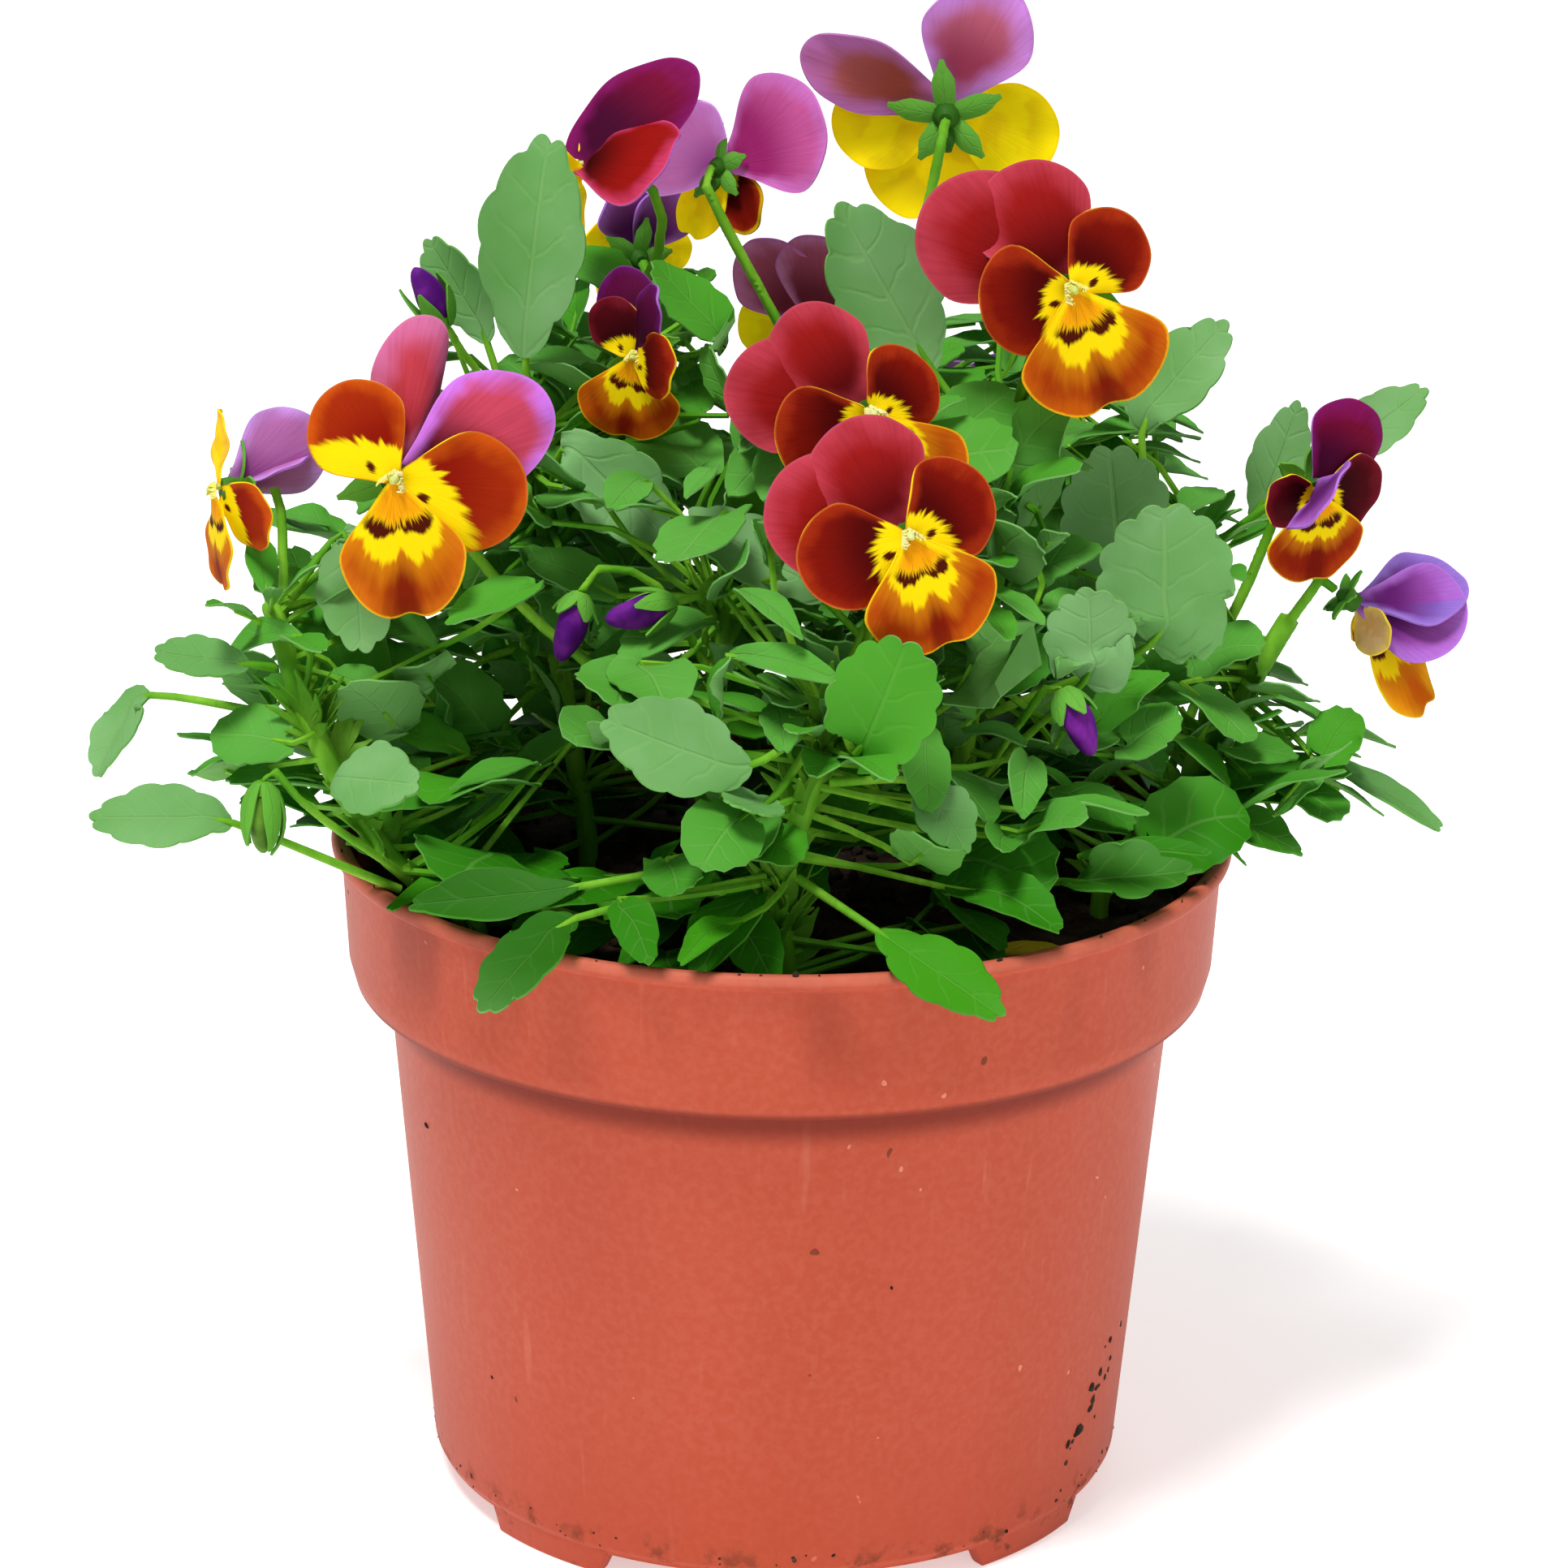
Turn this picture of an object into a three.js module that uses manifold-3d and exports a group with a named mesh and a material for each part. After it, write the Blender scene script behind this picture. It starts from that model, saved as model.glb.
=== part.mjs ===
// A potted pansy planter: a round plastic nursery pot filled with soil, and a bushy pansy
// plant of nine leafy shoots with flowers, buds and leaves.
//
// Units are millimetres and +Z is up. The origin is the pot's axis at the surface that the
// pot stands on, and the plant's show side looks along -Y.
//
// Every shoot, flower, bud and leaf is a solid of its own. A shoot is one growth, so its
// flower stalks are joined to its stem. Flowers, buds and leaves sit a hair's breadth off
// the shoot that carries them.

import * as THREE from 'three';
import { mergeVertices } from 'three/addons/utils/BufferGeometryUtils.js';
import Module from 'manifold-3d';

const wasm = await Module();
wasm.setup();

// ---------------------------------------------------------------------------------------
// Driving dimensions

const GAP = 0.3; // clearance between neighbouring solids

const POT = {
  height: 91,
  wall: 1.2,
  rimRadius: 60, // outside of the rolled lip
  lipDrop: 2.2, // height of the rolled lip
  collarTop: 58.6, // collar's outer radius under the lip
  collarBottom: 57.8,
  collarBase: 71, // height where the collar steps in to the body
  bevel: 3.4, // height of the sloping band at the collar's lower edge
  bevelDepth: 0.9,
  bodyTop: 52.6, // body's outer radius under the collar
  bodyBottom: 46.9,
  ridge: 4.6, // height of the ridge round the bottom edge
  floor: 4, // underside of the pot's floor
  footInner: 43.2,
  footOuter: 45.8,
  sides: 48,
};

const NOTCH = { count: 4, degrees: 66, height: 3, turn: 4 }; // gaps between the feet
const DRAIN = { count: 6, radius: 4, circle: 30, sides: 16 };

const SOIL = { edge: 80.5, crown: 82.5, hole: 4, sides: 36 }; // surface heights, a stem's hole

const STEM = { radius: 1.5, sides: 6, steps: 8 };
const STALK = { radius: 0.8, sides: 5, steps: 9 };
const BUD_STALK = { radius: 0.65, sides: 5, steps: 7 };
const NECK = 3; // a stalk's straight end, behind a flower or bud

const FLOWER_HEIGHT = 31; // the pattern flower, top of the upper petals to the lower lip
const HUB = { radius: 2.4, sides: 5 };
const CALYX = { radius: 1.9, end: 1.1, length: 5 };
const SPUR = { radius: 1, length: 6.5, tilt: 0.75 };
const PETAL = { thickness: 0.8, round: 0.12, outline: [0.2, 0.72, 1, 0.62] }; // shares of its width

const LEAF = { thickness: 0.7, petiole: 1.3, fold: 0.09, outline: [0.55, 0.9, 1, 0.8, 0.3] };

// A bud's outline from foot to tip, as radius and height.
const BUD_OUTLINE = [[0, 0], [1.5, 0.6], [2.3, 2.6], [2.1, 5.2], [1.1, 7.8], [0, 9]];

// Petals of the pattern flower: swing is the angle from straight up, lift brings a petal
// forward of the hub's middle, and curl bends its end backwards.
const PETALS = [
  { swing: 22, length: 18, width: 15.5, lift: -1.7, curl: 2.2 },
  { swing: -22, length: 18, width: 15.5, lift: -1.2, curl: 2.2 },
  { swing: 84, length: 13.5, width: 12.5, lift: 0, curl: 1.4 },
  { swing: -84, length: 13.5, width: 12.5, lift: 0, curl: 1.4 },
  { swing: 180, length: 14, width: 16, lift: 0.6, curl: 1 },
];

// ---------------------------------------------------------------------------------------
// The plant's plan. A stem is a list of points up from the soil.

const STEMS = {
  front: [[1, -40, 0], [0, -42, 96], [3, -42, 108], [6, -40, 119]],
  left: [[-38, -24, 0], [-50, -26, 94], [-60, -23, 110], [-66, -15, 125]],
  right: [[42, -6, 0], [52, -3, 95], [60, 1, 108], [67, 5, 119]],
  centre: [[-8, -14, 0], [-9, -13, 105], [-8, -12, 126]],
  tall: [[21, -6, 0], [24, -6, 105], [28, -4, 132], [29, -2, 146]],
  back: [[4, 22, 0], [7, 25, 115], [10, 27, 142]],
  back_left: [[-26, 8, 0], [-31, 12, 115], [-33, 14, 142]],
  back_right: [[33, 18, 0], [44, 17, 108], [55, 15, 127]],
  rear: [[-4, 40, 0], [-6, 46, 100], [-8, 53, 116]],
};

// Flowers: at is the stalk's root, as a share of the stem's length. yaw turns the face from
// the show side to the right, tilt raises it, roll leans its top to the right, and size is
// the height of the flower. via lists points that the stalk passes on its way up.
const FLOWERS = {
  flower_front: { stem: 'front', at: 0.55, heart: [15, -46, 143], yaw: 12, tilt: 14, roll: -26,
    size: 32, via: [[8, -37, 118]] },
  flower_middle: { stem: 'centre', at: 0.8, heart: [10.6, -23, 152.6], yaw: 14, tilt: 12, roll: -32,
    size: 34, via: [[0, -8, 134]] },
  flower_high_right: { stem: 'tall', at: 0.9, heart: [35.8, -14, 166.9], yaw: 8, tilt: 6, roll: -36,
    size: 36, via: [[30, -2, 150]] },
  flower_left: { stem: 'centre', at: 0.35, heart: [-49, -26, 144.2], yaw: -6, tilt: 8, roll: 22,
    size: 37, via: [[-18, -19, 112], [-34, -18, 126]] },
  flower_far_left: { stem: 'left', at: 0.9, heart: [-73.6, -6, 137.4], yaw: -68, tilt: 2, roll: 0,
    size: 28, via: [[-65, -8, 127]] },
  flower_small: { stem: 'back_left', at: 0.7, heart: [-20, 0, 154.4], yaw: -10, tilt: 0, roll: 6,
    size: 25, via: [[-24, 10, 138]] },
  flower_right: { stem: 'right', at: 0.3, heart: [69.5, 0, 137.4], yaw: 20, tilt: -10, roll: 8,
    size: 27, via: [[57, 7, 112], [63, 9, 126]] },
  flower_drooping: { stem: 'right', at: 0.95, heart: [76.5, 8, 119.8], yaw: 95, tilt: -35, roll: 0,
    size: 23, via: [[70, 3, 124]] },
  flower_top: { stem: 'back', at: 0.95, heart: [21, 36, 181], yaw: 176, tilt: 8, roll: 4,
    size: 36, via: [[13, 28, 152], [18, 26, 168]] },
  flower_top_left: { stem: 'back_left', at: 0.95, heart: [-27.9, 24, 174.3], yaw: -98, tilt: 5, roll: 0,
    size: 33, via: [[-24, 24, 150], [-17, 27, 165]] },
  flower_behind: { stem: 'back', at: 0.9, heart: [-8.4, 34, 173], yaw: 150, tilt: -6, roll: 0,
    size: 26, via: [[-3, 27, 156]] },
  flower_dark: { stem: 'back', at: 0.6, heart: [4.4, 40, 149.4], yaw: 155, tilt: 10, roll: 10,
    size: 27, via: [[10, 35, 134]] },
  flower_back_left: { stem: 'rear', at: 0.9, heart: [-22, 54, 157], yaw: 200, tilt: 8, roll: -8,
    size: 27, via: [[-13, 50, 128]] },
  flower_back_right: { stem: 'rear', at: 0.6, heart: [32, 58, 128], yaw: 160, tilt: 14, roll: 14,
    size: 31, via: [[6, 50, 114]] },
};

// Buds: towards is the way the bud's tip points.
const BUDS = {
  bud_left_centre: { stem: 'centre', at: 0.75, foot: [-26, -20, 128], towards: [-0.3, -0.2, -1],
    via: [[-18, -18, 130]] },
  bud_centre: { stem: 'centre', at: 0.95, foot: [-14, -27, 129], towards: [-1, -0.3, -0.2],
    via: [[-9, -22, 131]] },
  bud_right: { stem: 'tall', at: 0.2, foot: [35, -33, 120], towards: [0.5, -0.3, -1],
    via: [[28, -20, 108], [33, -31, 120]] },
  bud_high_left: { stem: 'back_left', at: 0.85, foot: [-45, 10, 156], towards: [-0.5, -0.2, 1],
    via: [[-41, 13, 149]] },
  bud_low_left: { stem: 'left', at: 0.3, foot: [-65, -38, 108], towards: [0, -0.1, -1],
    via: [[-60, -37, 105]] },
};

// Leaves: base is where the blade starts, tip is its end, and face is the way its upper
// side looks.
const LEAVES = {
  leaf_big_upright: { stem: 'back_left', at: 1, base: [-34.5, 8, 152.4], tip: [-31.5, 10, 181.6],
    width: 13, face: [-0.3, -1, 0.2] },
  leaf_upright_left: { stem: 'back_left', at: 0.9, base: [-40, 17, 152], tip: [-48, 18, 166],
    width: 8, face: [-0.5, -1, 0.5] },
  leaf_upright_centre: { stem: 'tall', at: 0.95, base: [19, 4, 152], tip: [6, 4, 174],
    width: 13, face: [0.3, -1, 0.3] },
  leaf_high_right: { stem: 'back_right', at: 0.9, base: [47, 12, 142], tip: [58, 14, 157],
    width: 11, face: [-0.5, -1, 0.6] },
  leaf_far_right: { stem: 'back_right', at: 1, base: [72, 14, 138], tip: [85, 16, 148],
    width: 8, face: [-0.3, -1, 0.7] },
  leaf_right_upper: { stem: 'back_right', at: 0.97, base: [63, 22, 128], tip: [69, 24, 144],
    width: 8, face: [-0.3, -1, 0.3] },
  leaf_right_behind: { stem: 'back_right', at: 0.6, base: [44, 3, 124], tip: [42, 2, 143],
    width: 15, face: [0, -1, 0.3] },
  leaf_round_right: { stem: 'tall', at: 0.45, base: [47, -16, 121], tip: [48, -16, 140],
    width: 18, face: [0.1, -1, 0.2] },
  leaf_right_centre: { stem: 'tall', at: 0.3, base: [38, -26, 119], tip: [38, -28, 132],
    width: 12, face: [0, -1, 0.3] },
  leaf_front_left: { stem: 'front', at: 0.95, base: [-4, -50, 115], tip: [-22, -54, 122],
    width: 12, face: [-0.1, -1, 0.5] },
  leaf_front_centre: { stem: 'front', at: 1, base: [9, -51, 117], tip: [15, -52, 132],
    width: 14, face: [0, -1, 0.3] },
  leaf_front_right: { stem: 'front', at: 0.8, base: [16, -46, 112], tip: [23, -50, 104],
    width: 8, face: [0.4, -1, 0.6] },
  leaf_left_inner: { stem: 'left', at: 0.55, base: [-56, -36, 108], tip: [-45, -44, 110],
    width: 10, face: [0, -1, 0.7] },
  leaf_far_left: { stem: 'left', at: 0.32, base: [-69, -36, 102], tip: [-87, -38, 103],
    width: 9, face: [-0.1, -0.8, 0.8] },
  leaf_arching_left: { stem: 'left', at: 0.75, base: [-82, -14, 112], tip: [-89, -18, 102],
    width: 8, face: [-0.8, -0.7, 0.6] },
  leaf_behind_left: { stem: 'left', at: 1, base: [-57, -10, 133], tip: [-54, -18, 119],
    width: 11, face: [0, -1, 0.4] },
  leaf_rim_left: { stem: 'front', at: 0.55, base: [-25, -50, 99], tip: [-46, -52, 97],
    width: 7, face: [-0.1, -0.9, 0.8] },
  leaf_rim_front_left: { stem: 'front', at: 0.48, base: [-25, -53, 96], tip: [-36, -68, 89],
    width: 9, face: [-0.4, -1, 0.9] },
  leaf_rim_front_right: { stem: 'front', at: 0.5, base: [12, -54, 95], tip: [27, -67, 89],
    width: 9, face: [0.2, -1, 0.9] },
  leaf_curly_right: { stem: 'tall', at: 0.1, base: [36, -34, 95], tip: [53, -38, 98],
    width: 8, face: [0, -0.7, 1] },
  leaf_rim_right: { stem: 'right', at: 0.4, base: [56, -10, 97], tip: [68, -16, 93],
    width: 6, face: [0.1, -0.7, 1] },
  leaf_trailing_right: { stem: 'right', at: 0.6, base: [72, 2, 100], tip: [88, -2, 92],
    width: 5, face: [0.3, -0.6, 1] },
  leaf_upper_left: { stem: 'back_left', at: 0.8, base: [-29, -4, 143], tip: [-15, -8, 132],
    width: 12, face: [-0.1, -1, 0.4] },
  leaf_centre: { stem: 'tall', at: 0.4, base: [5, -21, 128], tip: [-13, -21, 139],
    width: 10, face: [0.2, -0.9, 0.8] },
  leaf_front_inner: { stem: 'front', at: 0.88, base: [-1, -47, 110], tip: [-6, -57, 112],
    width: 8, face: [0, -0.6, 1] },
  leaf_left_upper: { stem: 'left', at: 0.85, base: [-68, -23, 119], tip: [-80, -25, 121],
    width: 7, face: [-0.1, -0.7, 1] },
  leaf_rear_left: { stem: 'rear', at: 0.8, base: [-20, 56, 108], tip: [-28, 68, 112],
    width: 12, face: [-0.2, 0.8, 1] },
  leaf_rear_right: { stem: 'rear', at: 0.6, base: [4, 54, 102], tip: [12, 69, 102],
    width: 12, face: [0.1, 0.7, 1] },
  leaf_back_right: { stem: 'back_right', at: 0.6, base: [50, 30, 110], tip: [60, 44, 114],
    width: 13, face: [0.3, 0.7, 1] },
  leaf_back_left: { stem: 'back_left', at: 0.55, base: [-43, 26, 112], tip: [-57, 36, 115],
    width: 13, face: [-0.5, 0.7, 1] },
};

// ---------------------------------------------------------------------------------------
// Materials

const paint = (color, roughness) =>
  new THREE.MeshStandardMaterial({ color, roughness, metalness: 0 });

const colours = {
  pot: 0xcb5f46,
  soil: 0x2a201a,
  shoot: 0x7fa83a,
  leaf: 0x5f9f68,
  bud: 0x7a3f96,
  flowerRust: 0x96301a,
  flowerPurple: 0x8a4a9a,
};

// ---------------------------------------------------------------------------------------
// Solids

// Turns a closed three.js geometry into a solid that can be joined and cut.
function toSolid(geometry) {
  const bare = geometry.clone();
  bare.deleteAttribute('normal');
  bare.deleteAttribute('uv');
  const merged = mergeVertices(bare, 1e-4);
  return new wasm.Manifold(new wasm.Mesh({
    numProp: 3,
    vertProperties: new Float32Array(merged.attributes.position.array),
    triVerts: new Uint32Array(merged.index.array),
  }));
}

function toGeometry(solid) {
  const mesh = solid.getMesh();
  const geometry = new THREE.BufferGeometry();
  geometry.setAttribute('position', new THREE.BufferAttribute(mesh.vertProperties, 3));
  geometry.setIndex(new THREE.BufferAttribute(mesh.triVerts, 1));
  geometry.computeVertexNormals();
  return geometry;
}

const join = (solids) => solids.reduce((whole, solid) => whole.add(solid));

const vector = (point) => new THREE.Vector3(...point);

const points = (list) => list.map(([x, y]) => new THREE.Vector2(x, y));

// Stands a lathed shape, which three.js turns about Y, on +Z.
const upright = (geometry) => geometry.rotateX(Math.PI / 2);

function tube(curve, { radius, sides, steps }) {
  const section = new THREE.Shape();
  for (let i = 0; i < sides; i += 1) {
    const angle = (2 * Math.PI * i) / sides;
    section[i ? 'lineTo' : 'moveTo'](radius * Math.cos(angle), radius * Math.sin(angle));
  }
  section.closePath();
  return new THREE.ExtrudeGeometry(section, { steps, bevelEnabled: false, extrudePath: curve });
}

const smooth = (list) => new THREE.CatmullRomCurve3(list, false, 'centripetal');

// ---------------------------------------------------------------------------------------
// Pot and soil

function potProfile() {
  const p = POT;
  const lipBase = p.height - p.lipDrop;
  const step = p.collarBase + p.wall;
  return points([
    [0, p.floor], [p.footInner, p.floor], [p.footInner + 0.4, 0], [p.footOuter, 0],
    [p.footOuter + 0.5, p.ridge - 0.8], [p.bodyBottom, p.ridge],
    [p.bodyTop, p.collarBase], [p.collarBottom - p.bevelDepth, p.collarBase],
    [p.collarBottom, p.collarBase + p.bevel], [p.collarTop, lipBase],
    [p.rimRadius - 0.3, lipBase + 0.3], [p.rimRadius, p.height - 1.1],
    [p.rimRadius - 0.4, p.height - 0.2], [p.rimRadius - 1, p.height],
    [p.collarTop - p.wall + 0.3, p.height - 0.3], [p.collarTop - p.wall, lipBase],
    [p.collarBottom - p.wall, step + p.bevel], [p.collarBottom - p.wall - p.bevelDepth, step],
    [p.bodyTop - p.wall, step], [p.bodyBottom - p.wall, p.floor + p.wall], [0, p.floor + p.wall],
  ]);
}

function ringSector(inner, outer, degrees, height) {
  const half = THREE.MathUtils.degToRad(degrees) / 2;
  const shape = new THREE.Shape();
  shape.absarc(0, 0, outer, -half, half, false);
  shape.absarc(0, 0, inner, half, -half, true);
  shape.closePath();
  return new THREE.ExtrudeGeometry(shape, { depth: height, bevelEnabled: false, curveSegments: 8 });
}

function potSolid() {
  let pot = toSolid(upright(new THREE.LatheGeometry(potProfile(), POT.sides)));
  for (let i = 0; i < NOTCH.count; i += 1) {
    const notch = ringSector(POT.footInner - 2, POT.bodyBottom + 1, NOTCH.degrees, NOTCH.height + 1);
    notch.translate(0, 0, -1);
    notch.rotateZ((2 * Math.PI * i) / NOTCH.count - Math.PI / 2 + THREE.MathUtils.degToRad(NOTCH.turn));
    pot = pot.subtract(toSolid(notch));
  }
  for (let i = 0; i < DRAIN.count; i += 1) {
    const hole = new THREE.CylinderGeometry(DRAIN.radius, DRAIN.radius, 2 * POT.floor, DRAIN.sides);
    upright(hole).translate(DRAIN.circle, 0, POT.floor);
    hole.rotateZ((2 * Math.PI * i) / DRAIN.count);
    pot = pot.subtract(toSolid(hole));
  }
  return pot;
}

// Height of the soil's surface at a place in plan.
function soilHeight(x, y) {
  const reach = Math.hypot(x, y) / (POT.collarBottom - POT.wall);
  return SOIL.crown + (SOIL.edge - SOIL.crown) * reach * reach;
}

function soilSolid() {
  const p = POT;
  const step = p.collarBase + p.wall;
  const edge = p.collarBottom - p.wall - GAP;
  const profile = [
    [0, p.floor + p.wall + GAP], [p.bodyBottom - p.wall - GAP, p.floor + p.wall + GAP],
    [p.bodyTop - p.wall - GAP, step - GAP], [p.bodyTop - p.wall - GAP, step + GAP],
    [edge - p.bevelDepth, step + GAP], [edge, step + p.bevel + GAP], [edge, SOIL.edge],
  ];
  for (const share of [0.75, 0.5, 0.25]) profile.push([edge * share, soilHeight(edge * share, 0)]);
  profile.push([0, SOIL.crown]);
  let soil = toSolid(upright(new THREE.LatheGeometry(points(profile), SOIL.sides)));
  const holeRadius = STEM.radius + 2 * GAP;
  for (const [[x, y]] of Object.values(STEMS)) {
    const hole = new THREE.CylinderGeometry(holeRadius, holeRadius, 2 * SOIL.hole, STEM.sides);
    upright(hole).translate(x, y, soilHeight(x, y));
    soil = soil.subtract(toSolid(hole));
  }
  return soil;
}

// ---------------------------------------------------------------------------------------
// Flowers and buds

// One petal, drawn with its claw at the middle of the flower and its end towards +Y.
function petal({ swing, length, width, lift, curl }) {
  const steps = PETAL.outline.length - 1;
  const geometry = new THREE.BoxGeometry(2, 1, PETAL.thickness, 2, steps, 1);
  const position = geometry.attributes.position;
  for (let i = 0; i < position.count; i += 1) {
    const along = position.getY(i) + 0.5;
    const across = position.getX(i);
    const half = (width / 2) * PETAL.outline[Math.round(along * steps)];
    const round = 1 - PETAL.round * across * across * along;
    position.setXYZ(i, across * half, along * length * round,
      position.getZ(i) + lift - curl * along * along);
  }
  return geometry.rotateZ(-THREE.MathUtils.degToRad(swing));
}

// The pattern flower faces +Z with its top at +Y. Its heart is the origin.
function patternFlower() {
  const hub = new THREE.IcosahedronGeometry(HUB.radius);
  const calyx = new THREE.CylinderGeometry(CALYX.radius, CALYX.end, CALYX.length, HUB.sides);
  upright(calyx).translate(0, 0, -CALYX.length / 2);
  const spur = new THREE.CylinderGeometry(SPUR.radius, SPUR.radius, SPUR.length, HUB.sides);
  upright(spur.translate(0, -SPUR.length / 2, 0)).rotateX(-SPUR.tilt);
  return join([...PETALS.map(petal), hub, calyx, spur].map(toSolid));
}

function flowerPose({ heart, yaw, tilt, roll, size }) {
  const rad = THREE.MathUtils.degToRad;
  const stand = new THREE.Matrix4().makeRotationX(Math.PI / 2);
  const lean = new THREE.Matrix4().makeRotationZ(-rad(roll));
  const raise = new THREE.Matrix4().makeRotationX(-rad(tilt));
  const turn = new THREE.Matrix4().makeRotationZ(rad(yaw));
  const scale = new THREE.Matrix4().makeScale(...Array(3).fill(size / FLOWER_HEIGHT));
  return new THREE.Matrix4().makeTranslation(...heart)
    .multiply(turn).multiply(raise).multiply(stand).multiply(lean).multiply(scale);
}

// The pattern bud points to +Z and stands on the origin.
function patternBud() {
  return upright(new THREE.LatheGeometry(points(BUD_OUTLINE), 8));
}

// ---------------------------------------------------------------------------------------
// Shoots

function stemCurve(name) {
  const [foot, ...rest] = STEMS[name];
  const [x, y] = foot;
  const surface = soilHeight(x, y);
  const start = [x, y, surface - SOIL.hole + GAP];
  return smooth([start, [x, y, surface + STEM.radius], ...rest].map(vector));
}

// Where a flower's stalk ends: just behind the calyx, coming in along the flower's back.
function flowerStalk(row, curve) {
  const pose = flowerPose(row);
  const scale = row.size / FLOWER_HEIGHT;
  const end = new THREE.Vector3(0, 0, -CALYX.length - GAP / scale).applyMatrix4(pose);
  const neck = new THREE.Vector3(0, 0, -CALYX.length - NECK / scale).applyMatrix4(pose);
  return smooth([curve.getPointAt(row.at), ...row.via.map(vector), neck, end]);
}

function budStalk(row, curve) {
  const way = vector(row.towards).normalize();
  const foot = vector(row.foot);
  const end = foot.clone().addScaledVector(way, -GAP);
  const neck = foot.clone().addScaledVector(way, -NECK);
  return smooth([curve.getPointAt(row.at), ...row.via.map(vector), neck, end]);
}

function shootSolid(name) {
  const curve = stemCurve(name);
  const parts = [tube(curve, STEM)];
  for (const row of Object.values(FLOWERS)) {
    if (row.stem === name) parts.push(tube(flowerStalk(row, curve), STALK));
  }
  for (const row of Object.values(BUDS)) {
    if (row.stem === name) parts.push(tube(budStalk(row, curve), BUD_STALK));
  }
  return join(parts.map(toSolid));
}

// ---------------------------------------------------------------------------------------
// Leaves

// The leaf's middle line runs from just off its stem, through the blade's base, to the tip.
function leafSpine(row) {
  const root = stemCurve(row.stem).getPointAt(row.at);
  const base = vector(row.base);
  const along = stemCurve(row.stem).getTangentAt(row.at);
  const away = base.clone().sub(root);
  away.addScaledVector(along, -away.dot(along)).normalize();
  const start = root.addScaledVector(away, STEM.radius + LEAF.petiole / 2 + GAP);
  const tip = vector(row.tip);
  const petiole = start.distanceTo(base);
  return { curve: smooth([start, base, tip]), share: petiole / (petiole + base.distanceTo(tip)) };
}

// A thin solid with one row of faces for the petiole and the rest for the blade. Its edges
// are a little higher than its midrib.
function leafGeometry(row) {
  const { curve, share } = leafSpine(row);
  const rows = 1 + LEAF.outline.length;
  const geometry = new THREE.BoxGeometry(2, 1, LEAF.thickness, 2, rows, 1);
  const position = geometry.attributes.position;
  const face = vector(row.face).normalize();
  for (let i = 0; i < position.count; i += 1) {
    const ring = Math.round((position.getY(i) + 0.5) * rows);
    const along = ring === 0 ? 0 : share + ((1 - share) * (ring - 1)) / (rows - 1);
    const blade = ring < 2 ? LEAF.petiole / row.width : LEAF.outline[ring - 2];
    const half = (row.width / 2) * blade;
    const across = position.getX(i);
    const tangent = curve.getTangentAt(along);
    const side = new THREE.Vector3().crossVectors(tangent, face).normalize();
    const up = new THREE.Vector3().crossVectors(side, tangent);
    const fold = LEAF.fold * 2 * half * Math.abs(across);
    const point = curve.getPointAt(along).addScaledVector(side, across * half)
      .addScaledVector(up, position.getZ(i) + fold);
    position.setXYZ(i, point.x, point.y, point.z);
  }
  return geometry;
}

// ---------------------------------------------------------------------------------------
// Assembly

const planter = new THREE.Group();

function place(name, geometry, color, roughness) {
  const mesh = new THREE.Mesh(geometry, paint(color, roughness));
  mesh.name = name;
  planter.add(mesh);
  return mesh;
}

place('pot', toGeometry(potSolid()), colours.pot, 0.4);
place('soil', toGeometry(soilSolid()), colours.soil, 1);

for (const name of Object.keys(STEMS)) {
  place(`shoot_${name}`, toGeometry(shootSolid(name)), colours.shoot, 0.6);
}

const flowerGeometry = toGeometry(patternFlower());
for (const [name, row] of Object.entries(FLOWERS)) {
  const back = Math.cos(THREE.MathUtils.degToRad(row.yaw)) < 0;
  const mesh = place(name, flowerGeometry, back ? colours.flowerPurple : colours.flowerRust, 0.7);
  mesh.applyMatrix4(flowerPose(row));
}

const budGeometry = patternBud();
for (const [name, row] of Object.entries(BUDS)) {
  const mesh = place(name, budGeometry, colours.bud, 0.7);
  mesh.quaternion.setFromUnitVectors(new THREE.Vector3(0, 0, 1), vector(row.towards).normalize());
  mesh.position.set(...row.foot);
}

for (const [name, row] of Object.entries(LEAVES)) place(name, leafGeometry(row), colours.leaf, 0.7);

export default planter;
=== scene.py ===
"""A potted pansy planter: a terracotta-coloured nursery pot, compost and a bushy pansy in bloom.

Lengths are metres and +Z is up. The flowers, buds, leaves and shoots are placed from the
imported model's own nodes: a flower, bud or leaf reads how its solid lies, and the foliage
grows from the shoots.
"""

from __future__ import annotations

import logging
import random
from collections.abc import Callable, Iterable, Sequence
from dataclasses import dataclass, field, replace
from enum import Enum
from functools import cache
from math import atan2, cos, degrees, exp, hypot, pi, radians, sin, sqrt

import bmesh
import bpy
import numpy as np
from bmesh.types import BMEdge, BMesh, BMVert
from bpy.types import Material, Node, NodeSocket, Object
from mathutils import Matrix, Vector, noise
from mathutils.bvhtree import BVHTree
from mathutils.kdtree import KDTree


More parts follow.
